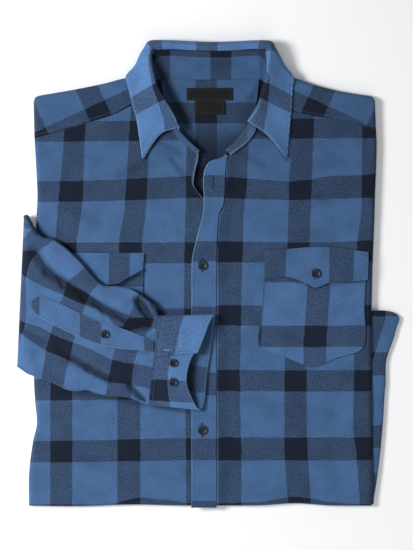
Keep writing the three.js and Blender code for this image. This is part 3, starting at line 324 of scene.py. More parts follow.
POCKET_RIGHT_ACROSS = [[0, -231.4, -202.8, -146.9, -118.3]]
POCKET_RIGHT_DOWN = [[0, 1.2, -15, -73.5, -100.8]]
FLAP_RIGHT_ACROSS = [
    [31.9, -213.7, -186.7, -129.1, -102.2], [-20.2, -213.7, -186.9, -129.1, -102.4],
]
INSIDE_ACROSS = [[0, -101.4, -74.1, -16.9, 11.1]]
INSIDE_DOWN = [[0, 307.4, 280.8, 224.2, 197.3]]
SLEEVE_PLACKET_BANDS = [[0, -244.4, -218.4, -166.4, -139.1, -83.2, -54.6]]
STRIP_DOWN = [[0, -33.1, -54, -100.8, -130.7, -195.7, -225.6, -256.8, -306.2]]

SLEEVE_PINS = table("x y u v", [
    [-230.6, 56.9, -0.6, 0], [-240.5, 45, -0.3, 0], [-206.7, 43.9, -0.4, 0.3],
    [-223, 30.8, 0, 0.3], [-237.5, 3.2, 0.3, 0.3], [-210.7, 13.1, 0, 0.6], [-182.9, -9.8, 0, 1],
    [-158, -22.8, 0, 1.3], [-104.7, -57.2, 0, 2], [-186.8, -24.7, 0.3, 1], [-162, -35.6, 0.3, 1.3],
    [-112.5, -69.5, 0.3, 2], [-171, -0.8, -0.3, 1], [-147.6, -13, -0.3, 1.3],
    [-93, -29.2, -0.4, 2], [-72.2, -56.6, 0, 2.3], [-80, -69.9, 0.4, 2.3],
    [-97.5, -73.5, 0.4, 2.1], [-190.8, -34.5, 0.5, 1], [-166.9, -48.5, 0.5, 1.3],
    [-203.7, -75.4, 1, 1], [-178.9, -86.3, 1, 1.3], [-209.7, -95.3, 1.3, 1],
    [-182.9, -106.2, 1.3, 1.3], [-215.7, -134.2, 1.9, 1], [-190.8, -142.1, 1.8, 1.3],
    [-122.2, -100.2, 0.9, 2], [-95.3, -101.3, 0.9, 2.3], [-124.2, -109.2, 1, 2],
    [-98.9, -115.2, 1, 2.3], [-129.5, -135.1, 1.3, 2], [-102.3, -139.1, 1.3, 2.3],
    [-133.1, -157, 1.6, 2], [-103.2, -159, 1.6, 2.3], [-73.5, -119.2, 1, 2.7],
    [-79.4, -144, 1.3, 2.6], [-238.6, -61.5, 1, 0.3], [-242.6, -73.5, 1.3, 0.3],
    [-224.6, -86.3, 1.3, 0.7], [-220.6, -66.4, 1, 0.7], [-132.6, -42.5, 0, 1.6],
    [-134.6, -46.9, 0.3, 1.6], [-139.8, -61.8, 0.6, 1.6], [-124.8, -24.1, -0.4, 1.6],
])

# Soft folds: a trough (or, with a depth below 0, a ridge) from a to b
SLEEVE_FOLDS = table("ax ay bx by depth width", [
    [-224.9, 29.2, -205.4, 3.2, 3.4, 12], [-205.4, 3.2, -184.6, -12.3, 5, 11],
    [-184.6, -12.3, -158.6, -29.2, 6, 10], [-158.6, -29.2, -132.6, -44.9, 6.4, 9],
    [-132.6, -44.9, -104, -58.5, 6.6, 9], [-104, -58.5, -75.4, -63.1, 6, 8],
    [-200.2, 29.2, -163.8, -3.2, -2.2, 17], [-153.4, -17.6, -111.8, -35.8, -2.4, 14],
    [-91, -33.1, -83.2, -43.6, 5.6, 9], [-83.2, -43.6, -75.4, -55.2, 6.4, 9],
    [-78, -34.5, -67.6, -56.6, -2.4, 4], [-109.2, -70.9, -75.4, -68.2, 3.6, 8],
    [-192.4, -98.2, -174.2, -109.9, 2.6, 9], [-174.2, -109.9, -153.4, -121.5, 3.8, 9],
    [-153.4, -121.5, -127.4, -135.8, 4, 9], [-239.2, -73.5, -210.6, -87.8, 1.8, 9],
    [-236.1, 77.4, -226.6, 67, 1.8, 6], [-226.6, 67, -219.7, 53.3, 1.8, 6],
    [-101.4, -143.7, -83.2, -161.8, 4.2, 7], [-192.4, -119, -153.4, -135.8, -1.2, 13],
    [-117, -152.8, -96.2, -158, -1, 9], [-236.6, -91.7, -226.2, -119, -1.2, 11],
    [-127.4, -91.7, -75.4, -100.8, 1.4, 5],
])

BUTTONS = table("name x y z radius", [
    ["front_upper", -7.2, 11.8, 13.8, 6.1], ["front_lower", -7.4, -201.9, 13.8, 6.1],
    ["flap_left", 139.9, 1.3, 14.8, 6.1], ["sleeve_placket", -133.6, -77.2, 24.1, 5.4],
    ["cuff_upper", -44.6, -114.3, 26.1, 5.4], ["cuff_lower", -45, -139, 26.4, 5.4],
])
BUTTON_THICK = 2.6
LABEL_Z = 6.8
LABEL_THICK = 1.0


# Lines and patches


def smooth(value):
    value = np.clip(value, 0, 1)
    return value**2 * (3 - 2 * value)


def curve_through(points, even=False):
    """A smooth line through points, as a function of 0 to 1 by length, or by number if even."""
    points = np.asarray(points, float)
    count = len(points)
    steps = np.ones(count - 1) if even else np.linalg.norm(np.diff(points, axis=0), axis=1)
    at = np.concatenate([[0.0], np.cumsum(steps)])
    before = np.maximum(np.arange(count) - 1, 0)
    after = np.minimum(np.arange(count) + 1, count - 1)
    slope = (points[after] - points[before]) / (at[after] - at[before])[:, None]

    def line(part):
        s = np.clip(np.asarray(part, float), 0, 1) * at[-1]
        i = np.clip(np.searchsorted(at, s, side="right") - 1, 0, count - 2)
        span = (at[i + 1] - at[i])[..., None]
        t = (s[..., None] - at[i][..., None]) / span
        end = 3 * t**2 - 2 * t**3
        leave = (t**3 - 2 * t**2 + t) * span
        arrive = (t**3 - t**2) * span
        straight = points[i] + (points[i + 1] - points[i]) * end
        return straight + leave * slope[i] + arrive * slope[i + 1]

    return line


def line_through(rows, names, even=False):
    return curve_through([[row[name] for name in names.split()] for row in rows], even)


def plan(rows):
    return line_through(rows, "x y")


def look_up(rows, key, name, value):
    ordered = sorted(rows, key=lambda row: row[key])
    return np.interp(value, [row[key] for row in ordered], [row[name] for row in ordered])


def patch(bottom, top, left, right):
    """A patch of the plan between four lines: bottom and top run alike, and so do left and right."""
    corners = [line(np.array([end]))[0] for line in (bottom, top) for end in (0, 1)]

    def shape(u, v):
        u3, v3 = u[..., None], v[..., None]
        across = bottom(u) + (top(u) - bottom(u)) * v3
        along = left(v) + (right(v) - left(v)) * u3
        low = corners[0] + (corners[1] - corners[0]) * u3
        high = corners[2] + (corners[3] - corners[2]) * u3
        return across + along - low - (high - low) * v3

    return shape


EDGE_PLACES = (0.0, 0.15, 0.5, 1.1)
CURL_PLACES = (0.0, 0.1, 0.4, 1.0, 1.9, 3.2, 4.6, CURL_REACH)


def steps(length, pitch, start=EDGE_PLACES, end=EDGE_PLACES):
    """Places from 0 to 1 over a length: the given distances in from each end, then even steps."""
    first = np.array(start) / length
    last = 1 - np.array(end)[::-1] / length
    count = max(int(round((last[0] - first[-1]) * length / pitch)), 1)
    between = np.linspace(first[-1], last[0], count + 1)[1:-1]
    return np.concatenate([first, between, last])


def resample(grid, rows, columns, closed=False):
    """A finer grid through the points of a coarse one. closed joins its last column to its first."""
    grid = np.asarray(grid, float)
    if closed:
        wrap = 3
        grid = np.concatenate([grid[:, -wrap:], grid, grid[:, :wrap]], axis=1)
        count = grid.shape[1] - 1
        columns = (wrap + np.asarray(columns) * (count + 1 - 2 * wrap)) / count
    down = curve_through(grid.reshape(len(grid), -1), even=True)(np.asarray(rows))
    down = down.reshape(len(rows), -1, 3).transpose(1, 0, 2)
    across = curve_through(down.reshape(len(down), -1), even=True)(np.asarray(columns))
    return across.reshape(len(columns), len(rows), 3).transpose(1, 0, 2)


# Relief

ROUND_DEPTH = 0.55  # how deep a cut edge is rounded, as a share of how far in


def rounding(inset, radius):
    """How far a cut edge falls at a distance in from it."""
    out = np.clip(1 - inset / radius, 0, 1)
    return radius * ROUND_DEPTH * (1 - np.sqrt(1 - out**2))


def trough(x, y, ax, ay, bx, by, width):
    """1 on the line from a to b, falling softly to 0 at width from it and at its ends."""
    dx, dy = bx - ax, by - ay
    t = ((x - ax) * dx + (y - ay) * dy) / (dx**2 + dy**2)
    away = np.hypot(x - ax - np.clip(t, 0, 1) * dx, y - ay - np.clip(t, 0, 1) * dy)
    return 1 - smooth(away / width)


def crease_shade(rows, x, y, narrow=0.5, full=5.0):
    """Painted shade in the depth of each crease, 0 to 1."""
    total = np.zeros(np.shape(x))
    for row in rows:
        if row["depth"] > 0:
            ends = (row["ax"], row["ay"], row["bx"], row["by"])
            total = np.maximum(total, row["depth"] / full * trough(x, y, *ends, row["width"] * narrow))
    return np.minimum(total, 1)


def folds(rows, x, y):
    total = np.zeros(np.shape(x))
    for row in rows:
        ends = (row["ax"], row["ay"], row["bx"], row["by"])
        total = total - row["depth"] * trough(x, y, *ends, row["width"])
    return total


# Slow swells of laid cloth: wave length, direction of travel in degrees, height and phase
SWELLS = table("length turn height phase", [
    [118, 12, 0.30, 0.4], [83, 71, 0.26, 2.1], [61, 128, 0.20, 4.0], [47, 38, 0.13, 1.2],
    [36, 97, 0.10, 5.1], [27, 155, 0.06, 3.3],
])
SWELL_BEND = 14.0
SWELL_BEND_LENGTH = 57.0


def swell(x, y, share=1.0):
    total = np.zeros(np.shape(x))
    for row in SWELLS:
        turn = np.radians(row["turn"])
        bend = SWELL_BEND * np.sin(y / SWELL_BEND_LENGTH + row["phase"])
        run = (x + bend) * np.cos(turn) + y * np.sin(turn)
        total = total + row["height"] * np.sin(2 * np.pi * run / row["length"] + row["phase"])
    return share * total


def pucker(along, inset, pitch=8.5, height=0.12, reach=5.0):
    """Small ripples along a stitched seam."""
    drift = np.sin(along / 31.0) * 2
    return height * np.sin(2 * np.pi * (along + drift) / pitch) * np.exp(-((inset / reach) ** 2))


def groove(inset, at, depth=0.3, width=0.8):
    return -depth * np.exp(-(((inset - at) / width) ** 2))


def curl(inset):
    fall = FRONT_TOP - RIM_HEIGHT
    out = np.clip(1 - inset / CURL_REACH, 0, 1)
    return fall * (1 - np.sqrt(1 - out**2))


def side_distance(x, y):
    right = look_up(BODY_SIDE_RIGHT, "y", "x", y)
    left = look_up(BODY_SIDE_LEFT, "y", "x", y)
    return np.maximum(np.minimum(x - right, left - x), 0)


def climb(x, y):
    seam = look_up(PLACKET_SEAM, "y", "x", y)
    return np.where(x < seam, 0, PLACKET_RISE * (1 - smooth((x - seam) / PLACKET_SLOPE)))


def front_top(x, y):
    return FRONT_TOP + climb(x, y) - curl(side_distance(x, y)) + swell(x, y)


# Soft creases of the fronts, a negative depth being a ridge
FRONT_FOLDS = table("ax ay bx by depth width", [
    [-41.6, 186.6, -26, 165.8, -1.1, 8], [-65, 174.8, -36.4, 156.7, 0.9, 10],
    [-75.4, 161.8, -41.6, 138.5, -0.8, 12], [-46.8, 148.8, -28.6, 125.5, 1, 9],
    [-24.7, 115, -11.7, 104.7, -1.2, 6], [-114.4, 129.3, -75.4, 142.3, 0.7, 14],
    [-127.4, 81.2, -75.4, 99.5, -0.6, 16], [-179.4, 90.4, -140.4, 64.4, 0.6, 16],
    [37.7, 161.8, 70.2, 142.3, 0.7, 11], [54.6, 133.2, 100.1, 117.7, -0.6, 14],
    [113.1, 109.9, 158.6, 94.2, 0.7, 16], [70.2, 60.5, 158.6, 47.5, 0.5, 18],
    [-153.4, -189.2, -36.4, -204.8, -0.6, 20], [54.6, -163.2, 158.6, -184, 0.6, 20],
    [-192.4, -230.8, -114.4, -256.8, 0.6, 18], [70.2, -72.2, 148.2, -93, 0.5, 16],
    [-75.4, -215.2, -23.4, -254.2, 0.5, 16], [119.6, -215.2, 184.6, -228.2, -0.5, 18],
])
# Painted shadow where the fronts lie close under the collar and beside the sleeve, 5 being the darkest
UNDER_EDGES = table("ax ay bx by depth width", [
    [-33.8, 190.5, -49.4, 186.6, 3.6, 7], [-49.4, 186.6, -61.1, 181.3, 4, 7],
    [-61.1, 181.3, -72.8, 167.1, 4.2, 7], [-72.8, 167.1, -83.2, 148.8, 3.6, 6],
    [49.4, 187.8, 65, 185.2, 3.4, 6], [65, 185.2, 78, 180.1, 4.2, 7],
    [78, 180.1, 91, 169.7, 4.2, 7], [91, 169.7, 102.7, 148.8, 3.6, 6],
    [-223.6, 68.2, -218.4, 50.1, 3.8, 5], [-218.4, 50.1, -197.6, 44.9, 3.8, 5],
    [-197.6, 44.9, -176.8, 27.9, 3.8, 5], [-176.8, 27.9, -161.2, 13.7, 3.8, 5],
    [-161.2, 13.7, -141.7, -9.1, 3.8, 5], [-89.7, -21.4, -75.4, -30.6, 2.8, 4.5],
    [-75.4, -30.6, -65, -48.8, 2.8, 4.5], [-192.4, -152.8, -140.4, -158, 2.2, 5],
    [-140.4, -158, -88.4, -168.3, 2.6, 5], [-88.4, -168.3, -23.4, -178.8, 2.4, 5],
    [102.4, -4.5, 127.4, -12.6, 3.4, 3.4], [127.4, -12.6, 138.5, -18.9, 3.6, 3.4],
    [138.5, -18.9, 157.8, -12.3, 3.6, 3.4], [157.8, -12.3, 174.2, -11.1, 3.4, 3.4],
    [174.2, -11.1, 206.7, -8.5, 2.6, 3], [72.8, -8.5, 101.4, -4.5, 1.6, 3],
    [-139.1, -17.6, -117, -15, 4.8, 5], [-117, -15, -101.4, -5.9, 5, 6],
    [-101.4, -5.9, -83.2, 4.5, 4.8, 6], [-15.6, -85.2, -2.6, -126.8, 2, 6],
    [-2.6, -126.8, -5.2, -168.3, 2, 6],
])


# Check


def bands(rows, first):
    """Check coordinate across dark bands: first where the first one starts, then 1 more for each."""
    stations, *edges = zip(*sorted(rows))
    sign = 1 if edges[1][0] > edges[0][0] else -1

    def at(position, across):
        lines = [sign * np.interp(position, stations, edge) for edge in edges]
        place = sign * across
        value = first + np.minimum(place - lines[0], 0) / REPEAT
        for i in range(len(lines) - 1):
            share = np.clip((place - lines[i]) / (lines[i + 1] - lines[i]), 0, 1)
            value = value + share * (DARK if i % 2 == 0 else 1 - DARK)
        return value + np.maximum(place - lines[-1], 0) / REPEAT

    return at


def check_from(across, down, first_across=0, first_down=0):
    """Check coordinates of the plan from the tables of bands across (against y) and down (against x)."""
    u = bands(across, first_across)
    v = bands(down, first_down)
    return lambda x, y: np.stack([u(y, x), v(x, y)], axis=-1)


PIN_PLAY = 1e-4  # how freely the bent check may miss its pins


def bend_through(pins):
    """Check coordinates of the plan, bent smoothly through pinned places (a thin plate)."""
    at = np.array([[row["x"], row["y"]] for row in pins]) / REPEAT
    values = np.array([[row["u"], row["v"]] for row in pins])

    def kernel(a, b):
        square = ((a[:, None, :] - b[None, :, :]) ** 2).sum(axis=2)
        return square * np.log(square + TINY**2)

    count = len(at)
    flat = np.hstack([np.ones((count, 1)), at])
    left = np.block([[kernel(at, at) + PIN_PLAY * np.eye(count), flat], [flat.T, np.zeros((3, 3))]])
    weights = np.linalg.solve(left, np.vstack([values, np.zeros((3, 2))]))

    def warp(x, y):
        places = np.stack([np.ravel(x), np.ravel(y)], axis=1) / REPEAT
        rows = np.hstack([kernel(places, at), np.ones((len(places), 1)), places])
        return (rows @ weights).reshape(*np.shape(x), 2)

    return warp


def turned(x0, y0, angle, u0=0.0, v0=0.0, mirrored=False, repeat=REPEAT):
    """Check turned by an angle about a place where u is u0 and v is v0."""
    c, s = np.cos(np.radians(angle)), np.sin(np.radians(angle))

    def at(x, y):
        dx = (x0 - x if mirrored else x - x0) / repeat
        dy = (y0 - y) / repeat
        return np.stack([u0 + dx * c - dy * s, v0 + dx * s + dy * c], axis=-1)

    return at


# Meshes


def surface_normals(grid):
    across = np.gradient(grid, axis=1)
    along = np.gradient(grid, axis=0)
    normals = np.cross(across, along)
    return normals / np.maximum(np.linalg.norm(normals, axis=2, keepdims=True), TINY)


def grid_faces(rows, columns, start, flip, closed=False):
    i, j = np.meshgrid(np.arange(rows - 1), np.arange(columns if closed else columns - 1), indexing="ij")
    after = (j + 1) % columns
    a, b = start + i * columns + j, start + i * columns + after
    c, d = start + (i + 1) * columns + after, start + (i + 1) * columns + j
    quads = np.stack([a, d, c, b] if flip else [a, b, c, d], axis=-1)
    return quads.reshape(-1, 4).tolist()


def rim_of(rows, columns):
    bottom = np.arange(columns - 1)
    right = np.arange(rows - 1) * columns + columns - 1
    top = (rows - 1) * columns + np.arange(columns - 1, 0, -1)
    left = np.arange(rows - 1, 0, -1) * columns
    return np.concatenate([bottom, right, top, left])


def wall(grid, thick, share=1.0, floor=None):
    """Points and faces of a closed cloth wall whose outside is the grid."""
    rows, columns = grid.shape[:2]
    normals = surface_normals(grid)
    outside = grid + normals * thick * (1 - share)
    inside = grid - normals * thick * share
    if floor is not None:
        inside[..., 2] = np.maximum(inside[..., 2], np.minimum(grid[..., 2], floor))
    count = rows * columns
    faces = grid_faces(rows, columns, 0, False) + grid_faces(rows, columns, count, True)
    rim = rim_of(rows, columns)
    after = np.roll(rim, -1)
    faces += np.stack([rim, rim + count, after + count, after], axis=1).tolist()
    return np.concatenate([outside.reshape(-1, 3), inside.reshape(-1, 3)]), faces


def make(name, points, faces, check, material, wear_and_light=0, shade=0):
    """A mesh object in metres. One UV map holds the check, one its wear with painted light and its
    painted shade.
    """
    mesh = bpy.data.meshes.new(name)
    mesh.from_pydata((np.asarray(points) * MM).tolist(), [], faces)
    mesh.update()
    if check is not None:
        corners = np.empty(len(mesh.loops), dtype=np.int32)
        mesh.loops.foreach_get("vertex_index", corners)
        check = np.asarray(check, float).reshape(-1, 2)
        tones = [np.broadcast_to(np.ravel(value), len(check)) for value in (wear_and_light, shade)]
        for layer_name, values in (("check", check), ("tone", np.column_stack(tones))):
            layer = mesh.uv_layers.new(name=layer_name)
            layer.data.foreach_set("uv", values[corners].ravel())
    mesh.polygons.foreach_set("use_smooth", [True] * len(mesh.polygons))
    mesh.materials.append(material)
    piece = bpy.data.objects.new(name, mesh)
    bpy.context.scene.collection.objects.link(piece)
    return piece


def fit(piece, slot, *nodes):
    """Joins a piece to the frame: the CAD nodes it stands for and its body; slot is not used."""
    if nodes:
        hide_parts(*nodes)
    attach(piece, "root")


def cloth(name, grid, check, thick, material, floor=None, wear_and_light=0, shade=0, inside=None, share=1.0):
    """A walled piece for the node of its name. inside is the painted shade of its inner face."""
    points, faces = wall(grid, thick, share, floor)
    size = grid.shape[:2]
    uv = np.concatenate([check.reshape(-1, 2), check.reshape(-1, 2)])
    wear_and_light = np.broadcast_to(wear_and_light, size).ravel()
    shade = np.broadcast_to(shade, size).ravel()
    inner = shade if inside is None else np.broadcast_to(inside, size).ravel()
    piece = make(
        name + "_cloth", points, faces, uv, material,
        np.concatenate([wear_and_light, wear_and_light]), np.concatenate([shade, inner]),
    )
    fit(piece, "flannel", name)


EDGE_BAND_FULL = 0.4  # share of a band's width where it acts in full


def edge_band(inset, width, most=1.0):
    """How strongly a band along a folded edge acts at a distance in from it, for wear with painted light
    and for painted shade.
    """
    return most * (1 - smooth((inset / width - EDGE_BAND_FULL) / (1 - EDGE_BAND_FULL)))


# Stitches


class Stitches:
    """Rows of thread, gathered into one mesh: each stitch is a small spindle."""

    taper = 0.22  # share of a stitch's length over which each end tapers

    def __init__(self, pitch=3.1, length=2.2, width=0.32, height=0.22):
        self.pitch, self.length, self.width, self.height = pitch, length, width, height
        self.points, self.faces = [], []

    def row(self, points, lift=0.05):
        points = np.asarray(points, float)
        gaps = np.linalg.norm(np.diff(points, axis=0), axis=1)
        at = np.concatenate([[0], np.cumsum(gaps)])
        count = int(at[-1] / self.pitch)
        middles = (np.arange(count) + 0.5) * self.pitch
        for middle in middles:
            ends = [
                np.array([np.interp(middle + shift, at, points[:, k]) for k in range(3)])
                for shift in (-self.length / 2, self.length / 2)
            ]
            self.one(ends[0], ends[1], lift)

    def one(self, a, b, lift=0.05):
        way = (b - a) / max(np.linalg.norm(b - a), TINY)
        side = np.cross([0, 0, 1], way)
        side = side / max(np.linalg.norm(side), TINY) * self.width
        up = np.array([0, 0, self.height])
        start = len(self.points)
        base = np.array([0, 0, lift])
        for end, inner in ((a, self.taper), (b, -self.taper)):
            shoulder = end + way * inner * self.length + base
            self.points += [shoulder + side, shoulder + up, shoulder - side, shoulder - up]
        self.points += [a, b]
        tail, head = start + 8, start + 9
        for k in range(4):
            n = (k + 1) % 4
            self.faces.append([start + k, start + n, start + 4 + n, start + 4 + k])
            self.faces.append([tail, start + n, start + k])
            self.faces.append([head, start + 4 + k, start + 4 + n])

    def build(self, name, material):
        piece = make(name, np.array(self.points), self.faces, None, material)
        fit(piece, "flannel")


# Materials


class Nodes:
    """A short way to build a node tree."""

    def __init__(self, name):
        self.material = bpy.data.materials.new(name)
        self.material.use_nodes = True
        self.tree = self.material.node_tree
        self.shader = self.tree.nodes["Principled BSDF"]

    def add(self, kind, **settings):
        node = self.tree.nodes.new(kind)
        for name, value in settings.items():
            setattr(node, name, value)
        return node

    def put(self, target, value):
        if isinstance(value, bpy.types.NodeSocket):
            self.tree.links.new(value, target)
        else:
            target.default_value = value

    def look(self, settings):
        for name, value in settings.items():
            self.put(self.shader.inputs[name], value)

    def place(self):
        return self.add("ShaderNodeTexCoord").outputs["Object"]

    def uv(self, name):
        return self.add("ShaderNodeUVMap", uv_map=name).outputs[0]

    def split(self, vector):
        node = self.add("ShaderNodeSeparateXYZ")
        self.put(node.inputs[0], vector)
        return node.outputs

    def math(self, operation, *values):
        node = self.add("ShaderNodeMath", operation=operation)
        for socket, value in zip(node.inputs, values):
            self.put(socket, value)
        return node.outputs[0]

    def ramp(self, value, low, high, to_low=0.0, to_high=1.0):
        node = self.add("ShaderNodeMapRange", interpolation_type="SMOOTHSTEP")
        for name, setting in (("Value", value), ("From Min", low), ("From Max", high)):
            self.put(node.inputs[name], setting)
        node.inputs["To Min"].default_value = to_low
        node.inputs["To Max"].default_value = to_high
        return node.outputs[0]

    def mix(self, share, first, second):
        node = self.add("ShaderNodeMix", data_type="RGBA")
        for place, value in ((0, share), (6, first), (7, second)):
            self.put(node.inputs[place], value)
        return node.outputs[2]

    def scale(self, vector, factor):
        node = self.add("ShaderNodeVectorMath", operation="MULTIPLY")
        self.put(node.inputs[0], vector)
        node.inputs[1].default_value = factor
        return node.outputs[0]

    def noise(self, vector, size, detail=2.0, rough=0.5):
        node = self.add("ShaderNodeTexNoise")
        self.put(node.inputs["Vector"], vector)
        node.inputs["Scale"].default_value = size
        node.inputs["Detail"].default_value = detail
        node.inputs["Roughness"].default_value = rough
        return node.outputs["Fac"]

    def bump(self, height, strength, distance):
        node = self.add("ShaderNodeBump")
        self.put(node.inputs["Height"], height)
        node.inputs["Strength"].default_value = strength
        node.inputs["Distance"].default_value = distance
        self.put(self.shader.inputs["Normal"], node.outputs[0])


def linear(red, green, blue, factor=1.0):
    """A colour given as 0 to 255 on a screen, as the shader's linear numbers, times a factor."""
    parts = []
    for value in (red, green, blue):
        share = value / 255
        plain = share / 12.92 if share <= 0.04045 else ((share + 0.055) / 1.055) ** 2.4
        parts.append(min(plain * factor, 1))
    return (*parts, 1.0)


# The cloth's colours as the photo shows them: plain ground, a dark band one way, and two bands crossing
GROUND = (71, 104, 147)
HEATHER_LIGHT = (69, 93, 128)
HEATHER_DARK = (34, 46, 68)
CROSSING = (23, 31, 47)
# The colour of painted shade, towards which creases, gaps and inner faces are darkened
PAINTED_SHADE_COLOUR = (10, 15, 25)
# The lighter colour of worn folded edges, also used as painted light
WORN_AND_LIT = (118, 150, 186)
YARN = 1.05  # width of one twill rib
EDGE = 0.012  # how soft a band's edge is, in repeats
WANDER_WIDTH = 0.03  # how far a band's edge wanders, in repeats

# Noises on the cloth: how fine per mm, how detailed and how rough, and between which values they act
WANDER = (0.09, 3.0)
MELANGE = (0.6, 5.0, 0.75)
MELANGE_RANGE = (0.3, 0.7)
FUZZ = (1.6, 3.0, 0.6)
FUZZ_RANGE = (0.2, 0.8)
CLOUD = (0.035, 3.0, 0.55)
CLOUD_RANGE = (0.3, 0.7)
SPECKLE_TWILL = 0.06
SPECKLE_RANGE = (0.37, 0.63)

# How much darker and lighter each makes the cloth, and how far the wear with painted light and the
# painted shade can turn it
GROUND_TONES = (0.76, 1.22)
CLOUD_TONES = (0.9, 1.1)
FUZZ_TONES = (0.88, 1.12)
WORN_AND_LIT_MOST = 0.75
PAINTED_SHADE_MOST = 0.86

CLOTH_LOOK = {
    "Roughness": 0.93, "Specular IOR Level": 0.15, "Sheen Weight": 0.12, "Sheen Roughness": 0.5,
    "Sheen Tint": (0.75, 0.85, 1.0, 1.0),
}
CLOTH_BUMP = (0.35, 0.0005)
TWILL_BUMP = 0.25


# light scales the whole colour: above 1 it is painted light, below 1 painted shade
def flannel(name, light=1.0):
    n = Nodes(name)
    uv = n.uv("check")
    cloth_mm = n.scale(uv, (REPEAT, REPEAT, REPEAT))
    across, down = n.split(uv)[:2]
    wander = n.math("SUBTRACT", n.noise(cloth_mm, *WANDER), 0.5)
    shift = n.math("MULTIPLY", wander, WANDER_WIDTH)

    def dark(place):
        place = n.math("FRACT", n.math("ADD", place, shift))
        start = n.ramp(place, 0.0, EDGE)
        end = n.ramp(place, DARK, DARK + EDGE, 1.0, 0.0)
        return n.math("MULTIPLY", start, end)

    dark_across, dark_down = dark(across), dark(down)
    either = n.math("MAXIMUM", dark_across, dark_down)
    both = n.math("MULTIPLY", dark_across, dark_down)

    ribs = n.math("MULTIPLY", n.math("ADD", across, down), 2 * np.pi * REPEAT / YARN)
    twill = n.math("SINE", ribs)
    melange = n.noise(cloth_mm, *MELANGE)
    fuzz = n.noise(cloth_mm, *FUZZ)
    cloud = n.noise(cloth_mm, *CLOUD)

    speckle = n.math("ADD", n.math("MULTIPLY", twill, SPECKLE_TWILL), melange)
    heather = n.mix(n.ramp(speckle, *SPECKLE_RANGE), linear(*HEATHER_DARK), linear(*HEATHER_LIGHT))
    tones = [linear(*GROUND, factor) for factor in GROUND_TONES]
    base = n.mix(either, n.mix(n.ramp(melange, *MELANGE_RANGE), *tones), heather)
    base = n.mix(both, base, linear(*CROSSING))
    # The tone map holds the wear with painted light, then the painted shade
    wear_and_light, painted_shade_amount = n.split(n.uv("tone"))[:2]
    base = n.mix(n.math("MULTIPLY", wear_and_light, WORN_AND_LIT_MOST), base, linear(*WORN_AND_LIT))
    base = n.mix(n.math("MULTIPLY", painted_shade_amount, PAINTED_SHADE_MOST), base, linear(*PAINTED_SHADE_COLOUR))
    cloudy = n.ramp(cloud, *CLOUD_RANGE, *CLOUD_TONES)
    tone = n.math("MULTIPLY", cloudy, n.ramp(fuzz, *FUZZ_RANGE, *FUZZ_TONES))
    shade = n.add("ShaderNodeVectorMath", operation="SCALE")
    n.put(shade.inputs[0], base)
    n.put(shade.inputs[3], n.math("MULTIPLY", tone, light))
    n.look({"Base Color": shade.outputs[0], **CLOTH_LOOK})
    relief = n.math("ADD", n.math("MULTIPLY", twill, TWILL_BUMP), n.math("ADD", melange, fuzz))
    n.bump(relief, *CLOTH_BUMP)
    return n.material


THREAD_TWIST = (2200.0, 2.0)
THREAD_DIM = 0.7
THREAD_LOOK = {"Roughness": 0.85, "Specular IOR Level": 0.2}


def thread(name, colour):
    n = Nodes(name)
    twist = n.mix(n.noise(n.place(), *THREAD_TWIST), linear(*colour, THREAD_DIM), linear(*colour))
    n.look({"Base Color": twist, **THREAD_LOOK})
    return n.material


HORN_DARK = (18, 25, 38)
HORN_LIGHT = (38, 49, 68)
HORN_CLOUD = (260.0, 4.0, 0.6)
HORN_STRETCH = (1.0, 2.2, 1.0)
HORN_ROUGH = (0.3, 0.42)
HORN_BUMP = (0.1, 0.0002)


def horn(name):
    """Mottled dark plastic of the buttons."""
    n = Nodes(name)
    cloud = n.noise(n.scale(n.place(), HORN_STRETCH), *HORN_CLOUD)
    mottled = n.mix(n.ramp(cloud, 0.35, 0.65), linear(*HORN_DARK), linear(*HORN_LIGHT))
    n.look({"Base Color": mottled, "Roughness": n.ramp(cloud, 0.3, 0.7, *HORN_ROUGH)})
    n.bump(cloud, *HORN_BUMP)
    return n.material


SATIN_DARK = (17, 17, 19)
SATIN_LIGHT = (30, 29, 29)
SATIN_LINE = (70, 64, 56)
SATIN_LINE_SHARE = 0.4
SATIN_YARN = 0.5
SATIN_FLECK = (1.6, 3.0, 0.6)
SATIN_STRETCH = (1.0, 2.5, 1.0)
SATIN_LOOK = {"Roughness": 0.8, "Specular IOR Level": 0.2}
SATIN_BUMP = (0.2, 0.0002)


def label_cloth(name, width, depth):
    """Black satin with a woven line inside its border."""
    n = Nodes(name)
    uv = n.uv("check")
    across, down = n.split(uv)[:2]
    weave = n.math("SINE", n.math("MULTIPLY", down, 2 * np.pi / SATIN_YARN))
    edge_x = n.math("SUBTRACT", width / 2, n.math("ABSOLUTE", across))
    edge_y = n.math("SUBTRACT", depth / 2, n.math("ABSOLUTE", down))
    inset = n.math("MINIMUM", edge_x, edge_y)
    line = n.math("MULTIPLY", n.ramp(inset, 1.2, 1.4), n.ramp(inset, 1.8, 2.0, 1.0, 0.0))
    fleck = n.noise(n.scale(uv, SATIN_STRETCH), *SATIN_FLECK)
    base = n.mix(fleck, linear(*SATIN_DARK), linear(*SATIN_LIGHT))
    base = n.mix(n.math("MULTIPLY", line, SATIN_LINE_SHARE), base, linear(*SATIN_LINE))
    n.look({"Base Color": base, **SATIN_LOOK})
    n.bump(weave, *SATIN_BUMP)
    return n.material


# Build

